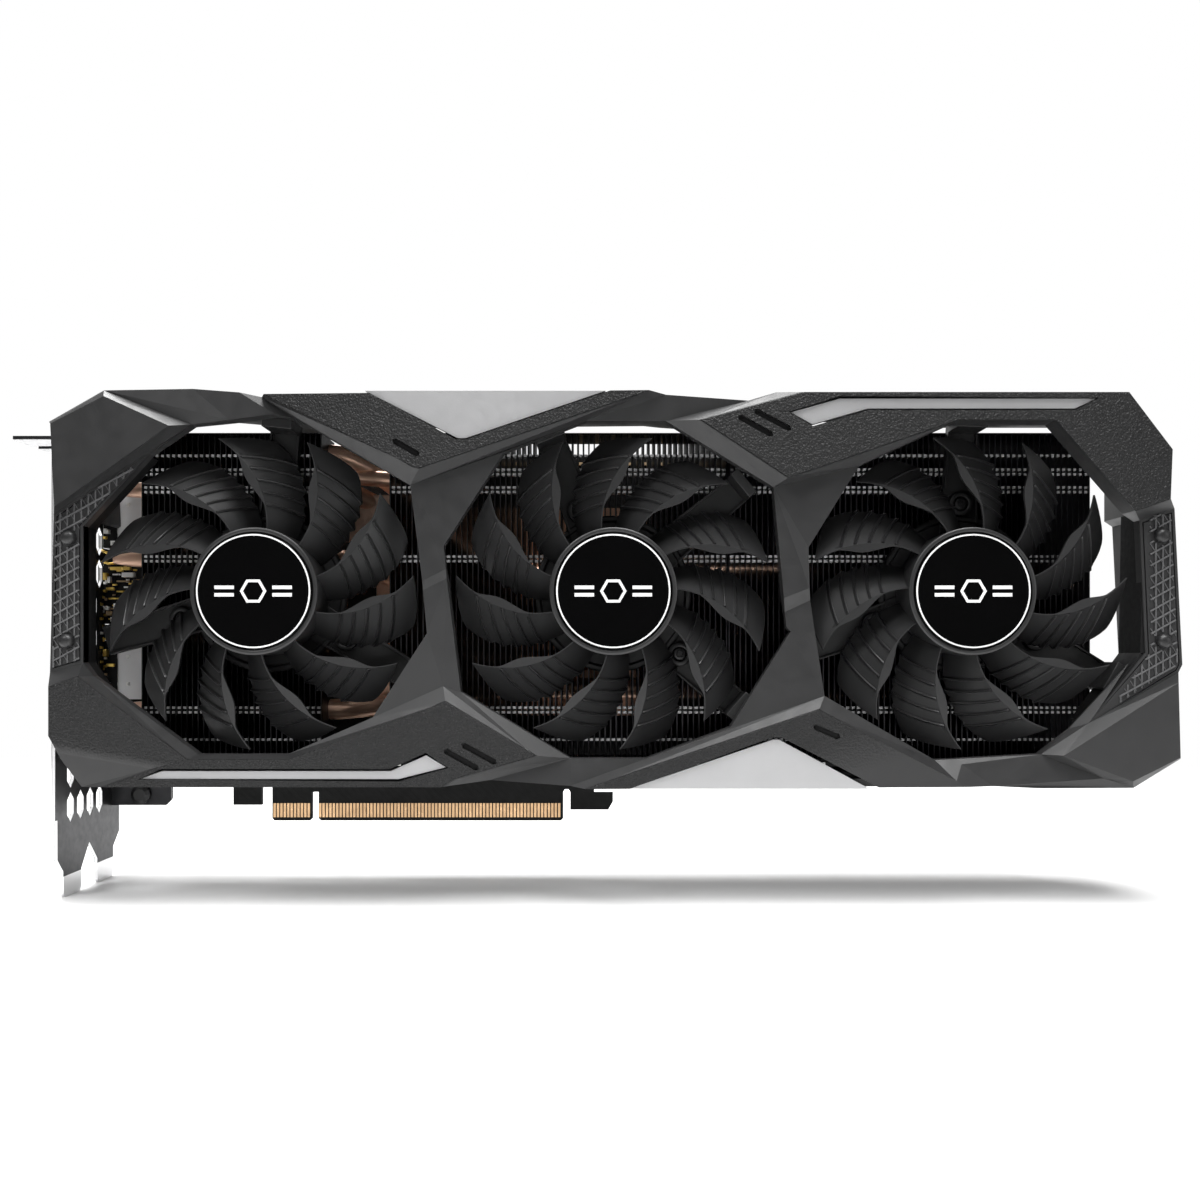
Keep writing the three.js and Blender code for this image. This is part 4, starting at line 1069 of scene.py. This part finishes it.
# Larger parts on the gap plate: (x, z, width, height, look).
GAP_BITS = ((-90.4, 73.2, 5.6, 0.9, "brass"), (-88.2, 71.4, 3.4, 1.3, "solder"),
            (-93.9, 70.0, 1.4, 1.8, "solder"), (-86.2, 69.2, 1.5, 1.1, "brass"),
            (-93.6, 60.4, 1.6, 1.2, "ceramic"), (-91.6, 62.2, 1.2, 2.0, "solder"))
GAP_BIT_DEPTHS = (6.6, 8.6)


def socket_surroundings(shape, number, z):
    """Springs, a dark cover and small bright parts round one display socket."""
    for sign in (-1, 1):
        level = z + sign * SPRING_OFF
        path = [(x, depth, level - sag) for x, depth, sag in SPRING]
        shape.add(tube(path, [SPRING_R] * len(path), 8), "brass")
    shape.add(brick(COVER_X, (z - COVER_HALF, z + COVER_HALF), COVER_DEPTHS), "lip")
    for x, above, width, height, rear, front, look in SOCKET_BITS:
        shape.add(cuboid(x, z + above, width, height, rear, front), look)
    for step in range(6):
        at = z - LADDER_LOW + step * LADDER_PITCH + LADDER_STAGGER * (number % 2)
        front = LADDER_FRONT - LADDER_STAGGER * (step % 3)
        shape.add(cuboid(LADDER_X, at, 0.8, 0.7, 6.9, front), LADDER_LOOKS[step % len(LADDER_LOOKS)])


def inner_bracket_parts():
    """Gold grounding springs and bright solder fillets between the bracket and the display sockets."""
    shape = Shape()
    for number, z in enumerate(PORT_HEIGHTS):
        socket_surroundings(shape, number, z)
    shape.add(brick(*GAP_PLATE), "lip")
    shape.add(brick(*VENT_PLATE), "lip")
    for index in range(13):
        z = FINGER_FIRST + index * FINGER_PITCH
        rear = FINGER_DEPTH + FINGER_STAGGER * (index % 2)
        front = rear + FINGER_LONG[index % len(FINGER_LONG)]
        look = FINGER_LOOKS[index % len(FINGER_LOOKS)]
        shape.add(brick(FINGER_X, (z, z + FINGER_TALL), (rear, front)), look)
    for index in range(16):
        z = GAP_FIRST + index * GAP_PITCH
        left = GAP_LEFT + GAP_STAGGER * (index % 3)
        second = left + SECOND_COLUMN
        look = GAP_LOOKS[index % len(GAP_LOOKS)]
        long = GAP_LONG[index % len(GAP_LONG)]
        shape.add(brick((left, left + long), (z, z + 0.42), (GAP_REAR, 7.4 + 0.3 * (index % 3))), look)
        shape.add(brick((second, second + long * 0.7), (z + 0.3, z + 0.75), (GAP_REAR, 7.3)), look)
    for x, z, width, height, look in GAP_BITS:
        shape.add(cuboid(x, z, width, height, *GAP_BIT_DEPTHS), look)
    make("bracket_springs", shape, CARD, smooth=40)


# Each power socket: (left x, width, columns of pins).
POWER_SOCKETS = ((96.0, 21.0, 4), (119.5, 16.6, 3))
SOCKET_WALL = 1.3
WALL_HALF = 0.35
WALL_HEIGHTS = (99.2, 107.7)
WALL_DEPTHS = (1.6, 9.6)
MIDDLE_WALL_DEPTHS = (5.2, 5.9)
WALL_OVERLAP = 0.1
POWER_PIN_HALF = 0.55
POWER_PIN_HEIGHTS = (99.0, 105.4)
POWER_PIN_DEPTHS = (3.4, 7.8)
LEDGE_HALF = 3
LEDGE_HEIGHTS = (105.4, 107.2)
LEDGE_DEPTHS = (10.7, 11.5)


def power_cells():
    """The divided mouth of each power socket with its pins, and the latch ledge at the front."""
    shape = Shape()
    for left, width, columns in POWER_SOCKETS:
        inner = left + SOCKET_WALL
        right = left + width - SOCKET_WALL
        pitch = (width - 2 * SOCKET_WALL) / columns
        for column in range(1, columns):
            at = inner + column * pitch
            shape.add(brick((at - WALL_HALF, at + WALL_HALF), WALL_HEIGHTS, WALL_DEPTHS), "socket")
        across = (inner - WALL_OVERLAP, right + WALL_OVERLAP)
        shape.add(brick(across, WALL_HEIGHTS, MIDDLE_WALL_DEPTHS), "socket")
        for column in range(columns):
            at = inner + (column + 0.5) * pitch
            for depth in POWER_PIN_DEPTHS:
                shape.add(brick((at - POWER_PIN_HALF, at + POWER_PIN_HALF), POWER_PIN_HEIGHTS,
                                (depth - POWER_PIN_HALF, depth + POWER_PIN_HALF)), "gold")
        middle = left + width / 2
        ledge_x = (middle - LEDGE_HALF, middle + LEDGE_HALF)
        shape.add(brick(ledge_x, LEDGE_HEIGHTS, LEDGE_DEPTHS), "socket")
    make("power_cells", shape, CARD, bevel=0.1, smooth=30)


port_details()
small_parts()
inner_bracket_parts()
power_cells()


# -------- the back

# The depth of the back plate's outer face. Depths grow towards the front, so what stands on it has less.
BACK_FACE = -4.1
# The plate's screws and then the cooler's: places, collar profile and its steps, radius, rear depth and look.
BACK_SCREWS = (
    (((-86, 100), (20, 102), (92, 100), (158, 92), (158, 20), (92, 18), (20, 18), (-70, 18)),
     ((2.9, BACK_FACE), (3.6, BACK_FACE), (3.5, -4.34), (3.0, -4.34)), 32, 2.3, -4.6, "screw"),
    (((0, 36), (40, 36), (40, 76), (0, 76)),
     ((3.4, BACK_FACE), (4.4, BACK_FACE), (4.2, -4.5), (3.6, -4.5)), 36, 2.9, -4.7, "bright"),
)
HEAD_TALL = 0.9
SLOT_HALF = 0.28
# Raised ribs: four bent ones, a frame round the cooler screws, two slanted bars and a long foot.
BENT_RIBS = 4
BENT_FIRST = -74
BENT_PITCH = 9
FRAME_OUTLINE = ((-6, 26), (46, 26), (50, 30), (50, 82), (46, 86), (-6, 86), (-10, 82), (-10, 30))
FRAME_REAR = -4.35
BAR_X = (62, 106)
BAR_HEIGHTS = ((24, 27), (92, 94))
FOOT_OUTLINE = ((-90, 14.5), (-20, 14.5), (-16, 17), (-90, 17))
FOOT_REAR = -4.45
RIB_REAR = -4.5


def back_screw(shape, x, z, radius, rear, look):
    """A flat-headed screw with a cross recess, seen from behind."""
    profile = ((0, rear + HEAD_TALL), (radius, rear + HEAD_TALL), (radius, rear + 0.25), (radius - 0.3, rear),
               (radius * 0.45, rear - 0.02), (radius * 0.4, rear + 0.4), (0, rear + 0.4))
    shape.add(lathe(profile, x, z, 28, closed=False), look)
    for along, across in ((radius * 0.75, SLOT_HALF), (SLOT_HALF, radius * 0.75)):
        shape.add(cuboid(x, z, along * 2, across * 2, rear - 0.03, rear + 0.02), "socket")


def back_details():
    """Screws and raised ribs on the back plate, and the heads of the four cooler screws."""
    screws = Shape()
    for places, collar, steps, radius, rear, look in BACK_SCREWS:
        for x, z in places:
            screws.add(lathe(collar, x, z, steps), "backplate")
            back_screw(screws, x, z, radius, rear, look)
    make("back_screws", screws, CARD, smooth=35)
    ribs = Shape()
    for index in range(BENT_RIBS):
        low = BENT_FIRST + index * BENT_PITCH
        bent = ((low, 26), (low + 3, 26), (low + 31, 74), (low + 31, 92), (low + 28, 92), (low + 28, 75))
        ribs.add(prism(bent, RIB_REAR, BACK_FACE), "backplate")
    ribs.add(prism(FRAME_OUTLINE, FRAME_REAR, BACK_FACE), "backplate")
    for low, high in BAR_HEIGHTS:
        slant = high - low
        bar = ((BAR_X[0], low), (BAR_X[1], low), (BAR_X[1] + slant, high), (BAR_X[0], high))
        ribs.add(prism(bar, RIB_REAR, BACK_FACE), "backplate")
    ribs.add(prism(FOOT_OUTLINE, FOOT_REAR, BACK_FACE), "backplate")
    make("back_ribs", ribs, CARD, bevel=0.15, smooth=25)


back_details()

CONTACT_PITCH = 1.0
CONTACT_HALF = 0.35
CONTACT_HEIGHTS = (1.0, 5.1)
# On the front and on the back face of the board.
CONTACT_DEPTHS = ((-0.02, 0.06), (-1.63, -1.55))
# The middle of the first contact before and after the key notch, and how many there are.
CONTACT_ROWS = ((-48.7, 11), (-35.35, 71))


def contacts():
    """Gold fingers on both faces of the tongue: 11 before the key notch and 71 after it."""
    shape = Shape()
    for first, count in CONTACT_ROWS:
        for index in range(count):
            x = first + index * CONTACT_PITCH
            for depths in CONTACT_DEPTHS:
                shape.add(brick((x - CONTACT_HALF, x + CONTACT_HALF), CONTACT_HEIGHTS, depths), "gold")
    make("edge_contacts", shape, CARD, smooth=0)


contacts()


# -------- stage

# The backdrop is seen brighter than it lights, as a white card behind a studio set is.
WORLD_LIGHT = 0.2
WORLD_SEEN = 1.0
# How far the floor reaches, and the distances between which it fades into the backdrop.
FLOOR_REACH = 6.0
FLOOR_FADE = (0.22, 0.5)


def backdrop():
    """A white world, dimmer as a light than to the eye."""
    world = bpy.data.worlds.new("studio")
    bpy.context.scene.world = world
    world.use_nodes = True
    nodes = world.node_tree.nodes
    links = world.node_tree.links
    background = nodes["Background"]
    background.inputs["Color"].default_value = (1, 1, 1, 1)
    seen = nodes.new("ShaderNodeLightPath")
    strength = nodes.new("ShaderNodeMapRange")
    strength.inputs["To Min"].default_value = WORLD_LIGHT
    strength.inputs["To Max"].default_value = WORLD_SEEN
    links.new(seen.outputs["Is Camera Ray"], strength.inputs["Value"])
    links.new(strength.outputs[0], background.inputs["Strength"])


def floor_look():
    """A pale floor that turns clear away from the card."""
    look = Look("floor_pale", (0.9, 0.9, 0.9), 0.7, spread=0.01, patch=2)
    material = look.done()
    clear = look.node("ShaderNodeBsdfTransparent").outputs[0]
    blend = look.node("ShaderNodeMixShader")
    away = look.node("ShaderNodeVectorMath", operation="LENGTH")
    look.feed(away.inputs[0], look.coords)
    look.feed(blend.inputs[0], look.ranged(away.outputs["Value"], *FLOOR_FADE))
    look.feed(blend.inputs[1], look.shader.outputs[0])
    look.feed(blend.inputs[2], clear)
    look.feed(look.tree.nodes["Material Output"].inputs["Surface"], blend.outputs[0])
    return material


def stage():
    backdrop()
    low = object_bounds()[0].z
    mesh = bpy.data.meshes.new("floor")
    corners = [(-FLOOR_REACH, -FLOOR_REACH, low), (FLOOR_REACH, -FLOOR_REACH, low),
               (FLOOR_REACH, FLOOR_REACH, low), (-FLOOR_REACH, FLOOR_REACH, low)]
    mesh.from_pydata(corners, [], [(0, 1, 2, 3)])
    floor = bpy.data.objects.new("floor", mesh)
    bpy.context.scene.collection.objects.link(floor)
    mesh.materials.append(floor_look())
    floor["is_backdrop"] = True


def light(name, place, target, size, power):
    """A soft rectangular lamp that points at its target."""
    lamp = bpy.data.lights.new(name, "AREA")
    lamp.shape = "RECTANGLE"
    lamp.size, lamp.size_y = size
    lamp.energy = power
    made = bpy.data.objects.new(name, lamp)
    made.location = place
    made.rotation_euler = (Vector(target) - Vector(place)).to_track_quat("-Z", "Y").to_euler()
    bpy.context.scene.collection.objects.link(made)


def camera():
    """A level camera in front of the card, with its lens shifted up."""
    lens = bpy.data.cameras.new("camera")
    lens.lens = 33.8
    lens.sensor_width = 36
    lens.shift_y = 0.0467
    lens.clip_start = 0.01
    made = bpy.data.objects.new("camera", lens)
    made.location = (0.0466, -0.3308, 0.0482)
    made.rotation_euler = (math.radians(90), 0, 0)
    bpy.context.scene.collection.objects.link(made)
    bpy.context.scene.camera = made


stage()
light("key", (-0.5, -0.7, 0.9), (0.04, 0, 0.06), (0.3, 0.3), 4.4)
light("fill", (0.9, -0.6, 0.25), (0.05, 0, 0.06), (0.5, 0.5), 1.3)
light("top", (0.0, -0.06, 0.8), (0.05, -0.02, 0.06), (1.1, 0.4), 20)
light("back", (-0.3, 0.9, 0.6), (0.05, 0, 0.06), (0.7, 0.5), 5)
camera()
bpy.context.scene.view_settings.view_transform = "Standard"
